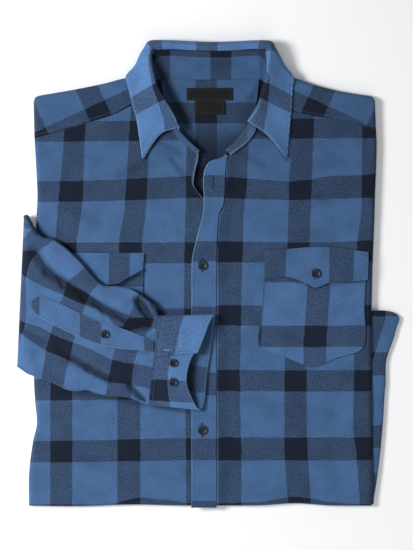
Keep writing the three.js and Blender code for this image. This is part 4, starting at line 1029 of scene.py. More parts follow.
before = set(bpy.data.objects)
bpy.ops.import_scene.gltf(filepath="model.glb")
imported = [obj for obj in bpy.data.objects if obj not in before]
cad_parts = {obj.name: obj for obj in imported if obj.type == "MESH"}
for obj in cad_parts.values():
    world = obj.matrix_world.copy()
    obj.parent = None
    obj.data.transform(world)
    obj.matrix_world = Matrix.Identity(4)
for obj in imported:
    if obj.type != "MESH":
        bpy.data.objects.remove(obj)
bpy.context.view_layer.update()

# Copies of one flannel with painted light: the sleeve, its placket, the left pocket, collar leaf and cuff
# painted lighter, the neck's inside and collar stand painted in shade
body_flannel = flannel("flannel")
painted_bright_flannel = flannel("flannel_painted_bright", light=1.12)
painted_brighter_flannel = flannel("flannel_collar", light=1.42)
painted_dim_flannel = flannel("flannel_painted_dim", light=0.78)
blue_thread = thread("thread_blue", (80, 110, 150))
# Dark thread for the buttons and the placket's buttonholes, its darkness partly the painted shade of the
# slits
dark_thread_and_slit_shade = thread("thread_dark_and_slit_shade", (34, 46, 66))
bright_thread = thread("thread_bright", (150, 180, 214))
button_plastic = horn("button_plastic")

stitches = Stitches()
marks = Stitches(pitch=0.7, length=1.6, width=0.3, height=0.3)
bright_marks = Stitches(pitch=0.7, length=1.6, width=0.3, height=0.3)

# How fine each piece's mesh is, across and along
MESH = {
    "core": (7.0, 7.0), "front": (2.4, 2.4), "yoke": (2.2, 1.8), "inside": (2.4, 2.4),
    "placket": (1.2, 2.2), "pocket": (2.4, 2.4), "flap": (1.6, 2.0), "stand": (1.6, 2.4),
    "leaf": (1.5, 2.4), "sleeve_placket": (1.2, 2.0), "cuff": (1.6, 1.8), "left_fold": (1.2, 2.4),
    "label": (2.0, 1.5),
}


def places(piece, size, across=(EDGE_PLACES, EDGE_PLACES), along=(EDGE_PLACES, EDGE_PLACES)):
    """Places across and along a piece of a size, at its mesh's steps."""
    pitch = MESH[piece]
    return steps(size[0], pitch[0], *across), steps(size[1], pitch[1], *along)


def rise(value, ends):
    """Softly from 0 at the first end to 1 at the second."""
    return smooth((value - ends[0]) / (ends[1] - ends[0]))


def nearest(values, value):
    return int(np.argmin(np.abs(values - value)))


def panel(shape, us, vs, height):
    u, v = np.meshgrid(us, vs)
    xy = shape(u, v)
    return np.dstack([xy, height(u, v, xy[..., 0], xy[..., 1])])


# Body

BODY = (445.0, 540.0)
CORE_CHECK_START = 0.42
CORE_LAYERS = table("in z", [
    [0.5, 4.3], [0.1, 4.0], [0.0, 3.5], [0.3, 3.15], [1.3, 2.95], [0.6, 2.75], [0.3, 2.3],
    [0.5, 1.85], [1.6, 1.65], [0.9, 1.4], [0.7, 0.9], [1.1, 0.4], [2.5, 0.0],
])
CORE_TOP = table("in z", [[4.4, 4.4], [5, 6], [6.3, 7.3], [8, 8.3], [10.8, 9]])
# Painted shade in the neck opening of the hidden layers
HOLLOW_FROM = 2.0  # the neck opening is shaded only above this height
GAP_SHADE = 0.9


def neck_dip(x, y):
    half = look_up(NECK_OPENING, "y", "half", y)
    middle = look_up(NECK_OPENING, "y", "mid", y)
    lowest = min(row["y"] for row in NECK_OPENING)
    return np.where(y < lowest, 0, smooth((half - np.abs(x - middle)) / NECK_SLOPE))


def folded_body():
    """The hidden layers as one rounded solid: neck dip on top, layered rim, flat underside."""
    shape = patch(plan(HEM), plan(SHOULDERS), plan(BODY_SIDE_RIGHT), plan(BODY_SIDE_LEFT))
    insets = [row["in"] for row in CORE_TOP]
    us, vs = places("core", BODY, (insets, insets), (insets, insets))
    u, v = np.meshgrid(us, vs)
    xy = shape(u, v)
    inset = np.minimum(np.minimum(u, 1 - u) * BODY[0], np.minimum(v, 1 - v) * BODY[1])
    z = np.interp(inset, insets, [row["z"] for row in CORE_TOP])
    z = z + (NECK_FLOOR - z) * neck_dip(xy[..., 0], xy[..., 1])
    points = [np.dstack([xy, z]).reshape(-1, 3)]
    faces = grid_faces(len(vs), len(us), 0, False)
    rim = rim_of(len(vs), len(us))
    border_u, border_v = us[rim % len(us)], vs[rim // len(us)]
    total = len(us) * len(vs)

    def pulled(value, length, inset):
        """Places of the border, moved to another distance in from the outline."""
        edge = insets[0] + TINY
        value = np.where(value * length <= edge, inset / length, value)
        return np.where((1 - value) * length <= edge, 1 - inset / length, value)

    for row in CORE_LAYERS:
        ring = shape(pulled(border_u, BODY[0], row["in"]), pulled(border_v, BODY[1], row["in"]))
        points.append(np.column_stack([ring, np.full(len(ring), row["z"])]))
        after = total + np.arange(len(rim))
        faces += np.stack([rim, after, np.roll(after, -1), np.roll(rim, -1)], axis=1).tolist()
        rim = after
        total += len(rim)
    points.append(np.dstack([xy, np.zeros(xy.shape[:2])]).reshape(-1, 3))
    faces += grid_faces(len(vs), len(us), total, True)
    under_rim = total + rim_of(len(vs), len(us))
    faces += np.stack([rim, under_rim, np.roll(under_rim, -1), np.roll(rim, -1)], axis=1).tolist()
    points = np.concatenate(points)
    x, y, z = points.T
    check = np.stack([x / REPEAT + CORE_CHECK_START, -y / REPEAT], axis=1)
    shade = GAP_SHADE * neck_dip(x, y) * (z > HOLLOW_FROM)
    piece = make("folded_body_cloth", points, faces, check, body_flannel, shade=shade)
    fit(piece, "flannel", "folded_body")


FRONT_LENGTH = 478.0
FRONT_RIGHT_WIDTH = 233.0
FRONT_LEFT_WIDTH = 201.0
SWELL_FADE = 7.0  # a front's swells are gone where it has curled down this far
SETTLE = 12.0  # the left front lies quite flat under the placket, up to here
FRONT_WEAR = 1.8
FRONT_WEAR_Y = (70.0, 100.0)  # the right front's edge is worn above here
CHEST_Y = (20.0, 170.0)
# Painted shade on the fronts and yokes: the chest darker than the hem, and the soft creases dark
CHEST_SHADE = 0.18  # the chest is a little darker than the hem
SOFT_FOLD = {"narrow": 0.8, "full": 3.6}  # how the fronts' soft creases look dark


def shade_under(grid):
    """Painted shade on the fronts: close under the collar's leaves, beside the sleeve and in soft
    creases.
    """
    x, y = grid[..., 0], grid[..., 1]
    soft = CHEST_SHADE * rise(y, CHEST_Y) + crease_shade(FRONT_FOLDS, x, y, **SOFT_FOLD)
    return np.maximum(crease_shade(UNDER_EDGES, x, y, 1.0), soft)


def front(name, edges, width, side, check):
    """A front panel. side is the share of its width, 0 or 1, at which it curls round the body's side."""
    ends = (CURL_PLACES, EDGE_PLACES)
    us, vs = places("front", (width, FRONT_LENGTH), ends[::-1] if side else ends, ends)

    def height(u, v, x, y):
        fall = np.maximum(curl(np.abs(side - u) * width), curl(v * FRONT_LENGTH))
        top = (1 - v) * FRONT_LENGTH
        settle = smooth(u * width / SETTLE) if side else 1
        soft = (swell(x, y) + folds(FRONT_FOLDS, x, y)) * (1 - fall / SWELL_FADE) * settle
        return FRONT_TOP + climb(x, y) - fall + soft + pucker(x, top) - rounding(top, EDGE_RADIUS)

    grid = panel(patch(*map(plan, edges)), us, vs, height)
    u, v = np.meshgrid(us, vs)
    x, y = grid[..., 0], grid[..., 1]
    wear_and_light = edge_band((1 - u) * width, FRONT_WEAR) * rise(y, FRONT_WEAR_Y) * (1 - side)
    cloth(name, grid, check(x, y), CLOTH, body_flannel, RIM_HEIGHT, wear_and_light, shade_under(grid))


YOKE = (150.0, 44.0)
YOKE_STITCH = 2.6
YOKE_SWELL = 0.6


def yoke(name, edges, check, mirrored):
    us, vs = places("yoke", YOKE, (CURL_PLACES, EDGE_PLACES), (EDGE_PLACES, CURL_PLACES))

    def height(u, v, x, y):
        fall = np.maximum(curl(u * YOKE[0]), curl((1 - v) * YOKE[1]))
        near = v * YOKE[1]
        z = FRONT_TOP + YOKE_RISE * (1 - v) - fall + swell(x, y, YOKE_SWELL) * (1 - fall / SWELL_FADE)
        return z - rounding(near, EDGE_RADIUS) + groove(near, YOKE_STITCH) + pucker(x, near - 2)

    grid = panel(patch(*map(plan, edges)), us[::-1] if mirrored else us, vs, height)
    stitches.row(grid[nearest(vs * YOKE[1], YOKE_STITCH), 4:-4])
    uv = check(grid[..., 0], grid[..., 1])
    cloth(name, grid, uv, CLOTH, body_flannel, RIM_HEIGHT, shade=CHEST_SHADE)


INSIDE = (125.0, 105.0)
INSIDE_SWELL = 0.45
INSIDE_SINK = 0.2
UNDER_STAND = 1.6  # how far it reaches under the stand
# Painted shade on the inside of the neck, growing towards the front and in its creases
INSIDE_DIM_Y = (205.0, 160.0)  # the inside grows dim towards the front between these
INSIDE_DIM = 0.8
INSIDE_CREASE = 0.85
# Painted shade inside the neck: lines from a to b, 5 being the darkest
NECK_SHADE = table("ax ay bx by depth width", [
    [-75.4, 302.2, -67.6, 278.9, 4.5, 11], [-67.6, 278.9, -55.9, 252.9, 4.5, 11],
    [-55.9, 252.9, -41.6, 224.2, 4, 10], [-41.6, 224.2, -26, 195.7, 3.8, 10],
    [-26, 195.7, -14.3, 172.2, 4, 9], [-14.3, 172.2, -10.4, 151.5, 4.8, 20],
    [-10.4, 151.5, -6.5, 109.9, 5, 22], [70.2, 294.4, 70.2, 255.5, 2.6, 7],
    [70.2, 255.5, 54.6, 226.8, 1.8, 6], [-65, 291.9, 65, 291.9, 2.2, 5],
])


def yoke_inside():
    rows = [row for row in NECK_OPENING if row["half"] > NECK_MARGIN + NECK_SLOPE]
    low = min(row["y"] for row in rows)
    high = max(row["y"] for row in rows) - NECK_BACK + UNDER_STAND

    def shape(u, v):
        y = low + (high - low) * v
        half = look_up(NECK_OPENING, "y", "half", y) - NECK_MARGIN
        middle = look_up(NECK_OPENING, "y", "mid", y)
        return np.stack([middle + half * (2 * u - 1), y], axis=-1)

    def height(u, v, x, y):
        return NECK_FLOOR + SEAM_GAP + CLOTH + swell(x, y, INSIDE_SWELL) - INSIDE_SINK

    grid = panel(shape, *places("inside", INSIDE), height)
    x, y = grid[..., 0], grid[..., 1]
    check = check_from(INSIDE_ACROSS, INSIDE_DOWN)(x, y)
    dark = INSIDE_CREASE * crease_shade(NECK_SHADE, x, y, 1.0)
    shade = np.maximum(dark, INSIDE_DIM * rise(y, INSIDE_DIM_Y))
    cloth("yoke_inside", grid, check, CLOTH, painted_dim_flannel, shade=shade)


PLACKET = (33.0, 465.0)
PLACKET_CURL_START = 1.6
PLACKET_CURL_PLACES = (0, 0.5, 1.1, 2, 3.4, 5)
PLACKET_STITCH = 4.5
PLACKET_RADIUS = 1.3
PLACKET_SWELL = 0.4
PLACKET_CHECK = (0.12, 0.4)  # its check's place at its edge, and how far it runs on
PLACKET_WEAR = 1.5
PLACKET_WEAR_LEAST = 0.35
PLACKET_WEAR_Y = (-20.0, 80.0)  # its edge is most worn above here


def placket():
    edge, seam = plan(PLACKET_EDGE), plan(PLACKET_SEAM)
    us, vs = places("placket", PLACKET, along=(PLACKET_CURL_PLACES, EDGE_PLACES))

    def shape(u, v):
        return edge(v) + (seam(v) - edge(v)) * u[..., None]

    def height(u, v, x, y):
        near, far = u * PLACKET[0], (1 - u) * PLACKET[0]
        z = FRONT_TOP + SEAM_GAP + PLACKET_CLOTH - curl(v * PLACKET[1] + PLACKET_CURL_START)
        z = z + swell(x, y, PLACKET_SWELL)
        for inset, start in ((near, y), (far, y + 3)):
            z = z - rounding(inset, PLACKET_RADIUS) + groove(inset, PLACKET_STITCH) + pucker(start, inset)
        return z

    grid = panel(shape, us, vs, height)
    for inset in (PLACKET_STITCH, PLACKET[0] - PLACKET_STITCH):
        stitches.row(grid[4:-4, nearest(us * PLACKET[0], inset)])
    x, y = grid[..., 0], grid[..., 1]
    u = np.meshgrid(us, vs)[0]
    across = DARK + PLACKET_CHECK[0] + PLACKET_CHECK[1] * u
    check = np.stack([across, bands(PLACKET_DOWN, 1)(x, y)], axis=-1)
    wear_and_light = PLACKET_WEAR_LEAST + (1 - PLACKET_WEAR_LEAST) * rise(y, PLACKET_WEAR_Y)
    wear_and_light = wear_and_light * edge_band(u * PLACKET[0], PLACKET_WEAR)
    cloth("placket", grid, check, PLACKET_CLOTH, body_flannel, RIM_HEIGHT, wear_and_light)


# Pockets


def ladder(rows, first, second, across, along):
    """Places of the plan between two lines that the rows give side by side."""
    first, second = line_through(rows, first), line_through(rows, second)
    u, v = np.meshgrid(across, along)
    return first(v) + (second(v) - first(v)) * u[..., None]


POCKET = (134.0, 136.0)
POCKET_STITCH = 2.2
POCKET_GROOVE = 0.25
# Painted shade along the pocket's edges, and how wide it runs
POCKET_EDGE_SHADE = 0.55
POCKET_SHADE_WIDTH = 1.5
POCKET_SWELL = 0.25
POCKET_SWELL_IN = (3, 28)


def pocket(name, rows, check, material):
    us, vs = places("pocket", POCKET)
    xy = ladder(rows[::-1], "lx ly", "rx ry", us, vs)
    x, y = xy[..., 0], xy[..., 1]
    u, v = np.meshgrid(us, vs)
    inset = np.minimum(np.minimum(u, 1 - u) * POCKET[0], v * POCKET[1])
    z = front_top(x, y) + SEAM_GAP + PATCH_CLOTH - rounding(inset, 1.0)
    z = z + groove(inset, POCKET_STITCH, POCKET_GROOVE) + pucker(x + y, inset)
    grid = np.dstack([xy, z + POCKET_SWELL * rise(inset, POCKET_SWELL_IN)])
    row = nearest(vs * POCKET[1], POCKET_STITCH)
    left = nearest(us * POCKET[0], POCKET_STITCH)
    right = len(us) - 1 - left
    for line in (grid[row, left:right + 1], grid[row:, left], grid[row:, right]):
        stitches.row(line)
    shade = np.maximum(shade_under(grid), POCKET_EDGE_SHADE * edge_band(inset, POCKET_SHADE_WIDTH))
    cloth(name, grid, check(x, y), PATCH_CLOTH, material, shade=shade)


FLAP = (45.0, 134.0)
FLAP_LIFT = PATCH_CLOTH + SEAM_GAP
FLAP_STEP = 0.3
FLAP_STITCH = 3.0
FLAP_TOP_STITCH = 5.0
FLAP_BULGE = 0.3
FLAP_DARK_Y = 44.389  # a dark band ends here
FLAP_CHECK = 0.9


def flap(name, rows, across):
    """A pocket flap. across gives its check's place across."""
    us, vs = places("flap", FLAP)
    xy = ladder(rows, "tx ty", "bx by", us, vs)
    x, y = xy[..., 0], xy[..., 1]
    u, v = np.meshgrid(us, vs)
    top, low = u * FLAP[0], (1 - u) * FLAP[0]
    free = np.minimum(np.minimum(v, 1 - v) * FLAP[1], low)
    z = front_top(x, y) + SEAM_GAP + CLOTH + FLAP_LIFT * smooth(u / FLAP_STEP)
    z = z - rounding(np.minimum(free, top), EDGE_RADIUS)
    z = z + groove(free, FLAP_STITCH, POCKET_GROOVE) + groove(top, FLAP_TOP_STITCH, 0.3)
    z = z + pucker(x, top - FLAP_TOP_STITCH) + FLAP_BULGE * np.sin(np.pi * v) * smooth(u)
    grid = np.dstack([xy, z])
    low_column = nearest((1 - us) * FLAP[0], FLAP_STITCH)
    first = nearest(vs * FLAP[1], FLAP_STITCH)
    stitches.row(grid[2:-2, nearest(us * FLAP[0], FLAP_TOP_STITCH)])
    stitches.row(grid[first:-first, low_column])
    for row in (first, -first - 1):
        stitches.row(grid[row, :low_column])
    down = DARK + (FLAP_DARK_Y - y) / REPEAT * FLAP_CHECK
    check = np.stack([bands(across, 0)(y, x), down], axis=-1)
    cloth(name, grid, check, CLOTH, body_flannel)


# Collar

STAND_SIZE = (40.0, 560.0)
STAND_BULGE = 1.2
STAND_WAVE = 0.25
STAND_WAVES = 95.0
STAND_DARK_AT = -76.7  # x at which a dark band starts across the back of the stand
STAND_BACK_Y = 252.0  # its back runs along X where its seam lies beyond this
STAND_BACK_HALF = 58.0
STAND_REPEAT = 0.94  # its repeat beside the cloth's
STAND_TOP_BAND = 0.77  # share of its height where the dark band along its top starts
STAND_SEAM_CHECK = 0.4
STAND_FRONT_Y = (200.0, 190.0)  # its front ends lie below these
STAND_DIM_Y = (215.0, 185.0)  # its right end grows dim between these
# Painted shade on the stand: in the neck's creases, less at its front ends, and on its right end
STAND_CREASE = 0.9
STAND_FRONT_LIGHT = 0.75
STAND_DIM = 0.2
# Wear of its ends and of its edges: how wide and how strong
STAND_END_WEAR = ((1.6, 0.7), (1.6, 0.5))
STAND_EDGE_WEAR = (1.7, 0.9)
# Painted light: the left front end of the stand is at least this much lighter
STAND_PAINTED_LIGHT = 0.25
STAND_REACH_FROM = 0.97
STAND_LAP_TO = 0.4
STAND_REACH = np.array([-7.8, -6.0, 0.3])  # how far its left front end runs on to the placket
STAND_LAP = np.array([1.8, -2.8, 1.2])  # how that end laps over the front


def arc(grid, axis):
    """Distance along a grid's lines from its first row or column."""
    gaps = np.linalg.norm(np.diff(grid, axis=axis), axis=2)
    start = np.zeros_like(np.take(gaps, [0], axis=axis))
    return np.concatenate([start, np.cumsum(gaps, axis=axis)], axis=axis)


def collar_stand():
    seam, edge = line_through(STAND, "nx ny nz"), line_through(STAND, "tx ty tz")
    us, vs = places("stand", STAND_SIZE)
    u, v = np.meshgrid(us, vs)
    grid = seam(v) + (edge(v) - seam(v)) * u[..., None]
    grid[..., 2] += STAND_BULGE * np.sin(np.pi * u) + STAND_WAVE * np.sin(v * STAND_WAVES) * u

    # Its check: straight across the back, then on along its length to both ends
    along = arc(grid, 0)[:, len(us) // 2]
    across = seam(vs)
    back = np.flatnonzero((across[:, 1] > STAND_BACK_Y) & (np.abs(across[:, 0]) < STAND_BACK_HALF))
    first, last = back[0], back[-1]
    place = grid[..., 0].copy()
    place[:first] = grid[first, :, 0] - (along[first] - along[:first])[:, None]
    place[last:] = grid[last, :, 0] + (along[last:] - along[last])[:, None]
    up = STAND_SEAM_CHECK + (1 - STAND_SEAM_CHECK) * u / STAND_TOP_BAND
    check = np.stack([up, (place - STAND_DARK_AT) / (REPEAT * STAND_REPEAT)], axis=-1)

    x, y = grid[..., 0], grid[..., 1]
    front_end = rise(y, STAND_FRONT_Y)
    right, left = x < 0, x > 0
    dark = STAND_CREASE * crease_shade(NECK_SHADE, x, y, 1.0) * (1 - STAND_FRONT_LIGHT * front_end)
    shade = np.maximum(dark, STAND_DIM * rise(y, STAND_DIM_Y) * right)
    width = arc(grid, 1)[:, -1:]
    ends = edge_band(v * STAND_SIZE[1], *STAND_END_WEAR[0])
    ends = ends + edge_band((1 - v) * STAND_SIZE[1], *STAND_END_WEAR[1])
    top_edge = front_end * right * edge_band((1 - u) * width, *STAND_EDGE_WEAR)
    # seam_edge also paints light over the stand's left front end
    seam_edge = np.maximum(STAND_PAINTED_LIGHT, edge_band(u * width, *STAND_EDGE_WEAR))
    wear_and_light = np.maximum(np.maximum(ends, top_edge), front_end * left * seam_edge)
    grid = grid + STAND_REACH * (left * rise(v, (STAND_REACH_FROM, 1)))[..., None]
    grid = grid + STAND_LAP * (front_end * left * (1 - smooth(u / STAND_LAP_TO)))[..., None]
    cloth("collar_stand", grid, check, COLLAR_CLOTH, painted_dim_flannel, None, wear_and_light, shade, share=0.5)


# Check on the leaf: its place along the roll at each row of LEAF's roll, and how its bands slant
# band is how far out from the roll the dark band along it reaches
LEAF_CHECK = table("row v band", [
    [0, 0.94, 19.5], [1, 0.6, 14], [2, 0.46, 10], [3, 0.25, 7], [4, 0.03, 5], [5, -0.16, 4],
    [6, -0.33, 3], [7, -0.47, 1], [8, -0.6, -4], [9, -0.72, -9], [10, -1.21, -9], [11, -1.56, -9],
    [12, -1.9, -9], [13, -2.24, -9], [14, -2.58, -9], [15, -2.85, -9], [16, -2.95, -9],
    [17, -3.08, -9], [18, -3.26, -6], [19, -3.48, 2], [20, -3.73, 5], [21, -3.97, 9],
    [22, -4.14, 13], [23, -4.4, 18], [24, -4.56, 24],
])
LEAF_SLANT = table("row slant", [
    [0, 0.1], [1, 0.02], [2, -0.06], [4, -0.05], [6, 0.0], [9, 0.0], [15, 0.0], [18, 0.0],
    [20, 0.05], [22, 0.06], [23, -0.02], [24, -0.1],
])
LEAF_SIZE = (58.0, 760.0)
COLLAR_SEAM = 0.8
LEAF_STITCH = 5.0
LEAF_RADIUS = 1.2
LEAF_FLAT = 6.0  # its relief fades out this close to the roll
# Painted shade on the left leaf, towards its point
LEAF_SHADE = 0.36  # the left leaf darkens towards its point
LEAF_SHADE_Y = (205.0, 160.0)
# Wear of the leaf's free edge and of the roll: how wide and how strong
LEAF_WEAR = (1.5, 0.4)
ROLL_WEAR = (1.6, 0.5)
ROLL_WEAR_Y = (230.0, 200.0)


def leaf_section(row, tries, ends):
    """The leaf's line at a row of LEAF, from the stand's top edge over the roll to its own edge."""
    roll = np.array([row["rx"], row["ry"], row["rz"]])
    below = tries[np.argmin(np.linalg.norm(tries - roll, axis=1))]
    seam = below + (roll - below) * COLLAR_SEAM / np.linalg.norm(roll - below)
    seam[2] += row["lift"]
    middle = [row["mx"], row["my"], row["mz"]]
    return curve_through([seam, roll, middle, [row["lx"], row["ly"], row["lz"]]])(ends)


def collar_leaf():
    tries = line_through(STAND, "tx ty tz")(np.linspace(0, 1, 2001))
    ends = steps(1, 1 / 8, (0,), (0,))
    us, vs = places("leaf", LEAF_SIZE)
    grid = resample([leaf_section(row, tries, ends) for row in LEAF], vs, us)
    rolls = line_through(LEAF, "rx ry rz", even=True)(vs)
    away = np.linalg.norm(grid - rolls[:, None, :], axis=2)
    across = arc(grid, 1)
    start = across[np.arange(len(vs)), np.argmin(away, axis=1)]
    out = across - start[:, None]
    width = across[:, -1] - start

    rows = vs * (len(LEAF) - 1)
    along = look_up(LEAF_CHECK, "row", "v", rows)[:, None]
    band = look_up(LEAF_CHECK, "row", "band", rows)[:, None]
    slant = look_up(LEAF_SLANT, "row", "slant", rows)[:, None]
    along = along + slant * np.clip(out / width[:, None], 0, 1)
    check = np.stack([DARK + (out - band) / REPEAT, along], axis=-1)

    inset = across[:, -1:] - across
    length = arc(grid, 0)
    free = np.minimum(inset, np.minimum(length, length[-1] - length))
    normals = surface_normals(grid)
    lift = groove(free, LEAF_STITCH) + pucker(length, free) - rounding(free, LEAF_RADIUS)
    grid = grid + normals * (lift * smooth(out / LEAF_FLAT))[..., None]
    first = nearest(length[:, -1], LEAF_STITCH)
    last = nearest(length[-1, -1] - length[:, -1], LEAF_STITCH)
    column = nearest(inset[len(vs) // 8], LEAF_STITCH)
    face = grid + normals
    stitches.row(face[first:last, column])
    for row in (first, last):
        stitches.row(face[row, column // 2:column])
    y = grid[..., 1]
    wear_and_light = edge_band(free, *LEAF_WEAR) + edge_band(np.abs(out), *ROLL_WEAR) * rise(y, ROLL_WEAR_Y)
    shade = LEAF_SHADE * rise(y, LEAF_SHADE_Y) * (grid[..., 0] > 0)
    cloth("collar_leaf", grid, check, COLLAR_CLOTH, painted_brighter_flannel, None, wear_and_light, shade, share=0.5)


# Sleeve

SLEEVE_EDGE = (0, 0.13, 0.5, 1)  # places over the round of its edge, as shares of its half height
SLEEVE_ACROSS = 9
SLEEVE_STATIONS = 13
TURN_ROWS = 25
SLEEVE_ROWS = 90
ROUND_COLUMNS = 9
FLAT_COLUMNS = 60
SLEEVE_SWELL = 1.3  # its swells are this many times shorter than the body's
SLEEVE_CREASE = 0.85
# Painted shade on the sleeve's inner face
INNER_SHADE = 0.7
sleeve_patch = patch(*map(plan, (SLEEVE_TOP, SLEEVE_BOTTOM, SLEEVE_FOLD, CUFF_SEAM)))
sleeve_check = bend_through(SLEEVE_PINS)


def sleeve_ring(stations, k):
    """One coarse ring of the tube: along its upper side and back along its lower."""
    station = stations[k]
    before, after = stations[max(k - 1, 0)], stations[min(k + 1, len(stations) - 1)]
    run = np.hypot(after["in"] - before["in"], after["z"] - before["z"])
    out_x = (before["z"] - after["z"]) / run
    out_z = (after["in"] - before["in"]) / run
    share_in = np.array([station["in"] / SLEEVE_LENGTH])
    high = sleeve_patch(share_in, np.array([1.0]))[0]
    low = sleeve_patch(share_in, np.array([0.0]))[0]
    chord = np.linalg.norm(high - low)
    radius = station["half"]
    ends = [share * radius for share in SLEEVE_EDGE]
    along = steps(chord, (chord - 2 * radius) / SLEEVE_ACROSS, ends, ends)

    def side(shares, sign):
        edge = np.minimum(shares, 1 - shares) * chord
        height = sign * np.sqrt(np.maximum(radius**2 - np.maximum(radius - edge, 0) ** 2, 0))
        x, y = (low + (high - low) * shares[:, None]).T
        return np.column_stack([x + out_x * height, y, station["z"] + out_z * height])

    return np.concatenate([side(along, 1), side(along[1:-1][::-1], -1)])


def sleeve_right():
    """The sleeve as one flattened tube that turns over the body's side and lies on the front."""
    last = SLEEVE_TURN[-1]
    stations = list(SLEEVE_TURN)
    for share in np.linspace(0, 1, SLEEVE_STATIONS)[1:]:
        place = last["in"] + (SLEEVE_LENGTH - last["in"]) * share
        stations.append({"in": place, "z": last["z"], "half": last["half"]})
    rings = np.array([sleeve_ring(stations, k) for k in range(len(stations))])
    turn, total = len(SLEEVE_TURN) - 1, len(stations) - 1
    rows = np.concatenate([np.linspace(0, turn, TURN_ROWS)[:-1], np.linspace(turn, total, SLEEVE_ROWS)])
    corner = len(SLEEVE_EDGE) - 1
    upper = 2 * corner + SLEEVE_ACROSS
    count = rings.shape[1]
    marks_at = [0, corner, corner + SLEEVE_ACROSS, upper, upper + corner, count - corner, count]
    fine = [ROUND_COLUMNS, FLAT_COLUMNS, ROUND_COLUMNS] * 2
    columns = np.concatenate([
        np.linspace(marks_at[i], marks_at[i + 1], fine[i] + 1)[:-1] for i in range(len(fine))
    ])
    grid = resample(rings, rows / total, columns / count, closed=True)
    across = np.gradient(np.concatenate([grid[:, -1:], grid, grid[:, :1]], axis=1), axis=1)[:, 1:-1]
    normals = np.cross(across, np.gradient(grid, axis=0))
    normals = normals / np.maximum(np.linalg.norm(normals, axis=2, keepdims=True), TINY)
    x, y = grid[..., 0], grid[..., 1]
    on_top = rise(normals[..., 2], (0.6, 0.9)) * (rows[:, None] >= turn - 1)
    relief = folds(SLEEVE_FOLDS, x, y) + swell(x * SLEEVE_SWELL, y * SLEEVE_SWELL, 0.8)
    grid = grid + normals * (relief * on_top)[..., None]
    inner = grid - normals * CLOTH
    inner[..., 2] = np.where(normals[..., 2] > 0, np.maximum(inner[..., 2], 0.2), inner[..., 2])

    size = grid.shape[0] * grid.shape[1]
    faces = grid_faces(len(rows), len(columns), 0, False, True)
    faces += grid_faces(len(rows), len(columns), size, True, True)
    start = np.arange(len(columns))
    end = (len(rows) - 1) * len(columns) + start
    after, after_end = np.roll(start, -1), np.roll(end, -1)
    faces += np.stack([start, start + size, after + size, after], axis=1).tolist()
    faces += np.stack([end, after_end, after_end + size, end + size], axis=1).tolist()
    check = sleeve_check(x, y).reshape(-1, 2)
    points = np.concatenate([grid.reshape(-1, 3), inner.reshape(-1, 3)])
    shade = np.ravel(crease_shade(SLEEVE_FOLDS, x, y, SLEEVE_CREASE) * on_top)
    shade = np.concatenate([shade, np.full(size, INNER_SHADE)])
    uv = np.concatenate([check, check])
    piece = make("sleeve_right_cloth", points, faces, uv, painted_bright_flannel, shade=shade)
    fit(piece, "flannel", "sleeve_right")


TOWER = (28.0, 175.0)
TOWER_SINK = 0.25
TOWER_STITCH = 2.4
TOWER_START = 6.0  # its stitch rows start this far from its point
TOWER_WEAR = (1.2, 0.5)
TOWER_CHECK = (0.15, 0.33)
TOWER_CROSS_X = -197.0  # a row of stitches crosses it here


def sleeve_placket():
    us, vs = places("sleeve_placket", TOWER)
    xy = ladder(SLEEVE_PLACKET, "ux uy", "lx ly", us, vs)
    x, y = xy[..., 0], xy[..., 1]
    u, v = np.meshgrid(us, vs)
    inset = np.minimum(np.minimum(u, 1 - u) * TOWER[0], v * TOWER[1])
    z = SLEEVE_MIDDLE + SLEEVE_HALF + SEAM_GAP + PATCH_CLOTH + TOWER_SINK * folds(SLEEVE_FOLDS, x, y)
    z = z - rounding(inset, 1.0) + groove(inset, TOWER_STITCH, POCKET_GROOVE)
    grid = np.dstack([xy, z + pucker(x, inset, 7.0) + swell(x, y, 0.5)])
    near = nearest(us * TOWER[0], TOWER_STITCH)
    start = nearest(vs * TOWER[1], TOWER_START)
    for column in (near, len(us) - 1 - near):
        stitches.row(grid[start:-3, column])
    stitches.row(grid[nearest(grid[:, len(us) // 2, 0], TOWER_CROSS_X), near:-near])
    down = DARK + TOWER_CHECK[0] + TOWER_CHECK[1] * u
    check = np.stack([bands(SLEEVE_PLACKET_BANDS, 0)(y, x), down], axis=-1)
    wear_and_light = edge_band(inset, *TOWER_WEAR)
    cloth("sleeve_placket", grid, check, PATCH_CLOTH, painted_bright_flannel, wear_and_light=wear_and_light)


# Check round the cuff, at rows of CUFF
CUFF_CHECK = table("row v", [
    [0, 0.45], [2, 0.75], [4, 0.88], [5.6, 1], [6.45, 1.34], [7, 1.5], [8, 1.85], [9, 2],
    [10.1, 2.34], [12, 2.7],
])
CUFF_SIZE = (70.0, 330.0)
CUFF_STITCH = 4.0
CUFF_RADIUS = 1.3
CUFF_BAND = 31.0  # the dark band along its seam ends this far from it
# Painted shade on the cuff's inner face, deepest in its mouth, and along its seam edge
CUFF_MOUTH_X = (-6.0, -22.0)  # the inside of its mouth grows dark between these
CUFF_SIDE_Y = (-130.0, -80.0)  # and half as dark between these
CUFF_SIDE = 0.5
CUFF_INSIDE = 0.35
CUFF_DEEP = 0.6
CUFF_WEAR = (1.4, 0.35)
CUFF_SEAM_SHADE = (2.0, 0.55)
CUFF_REPEAT = 0.9


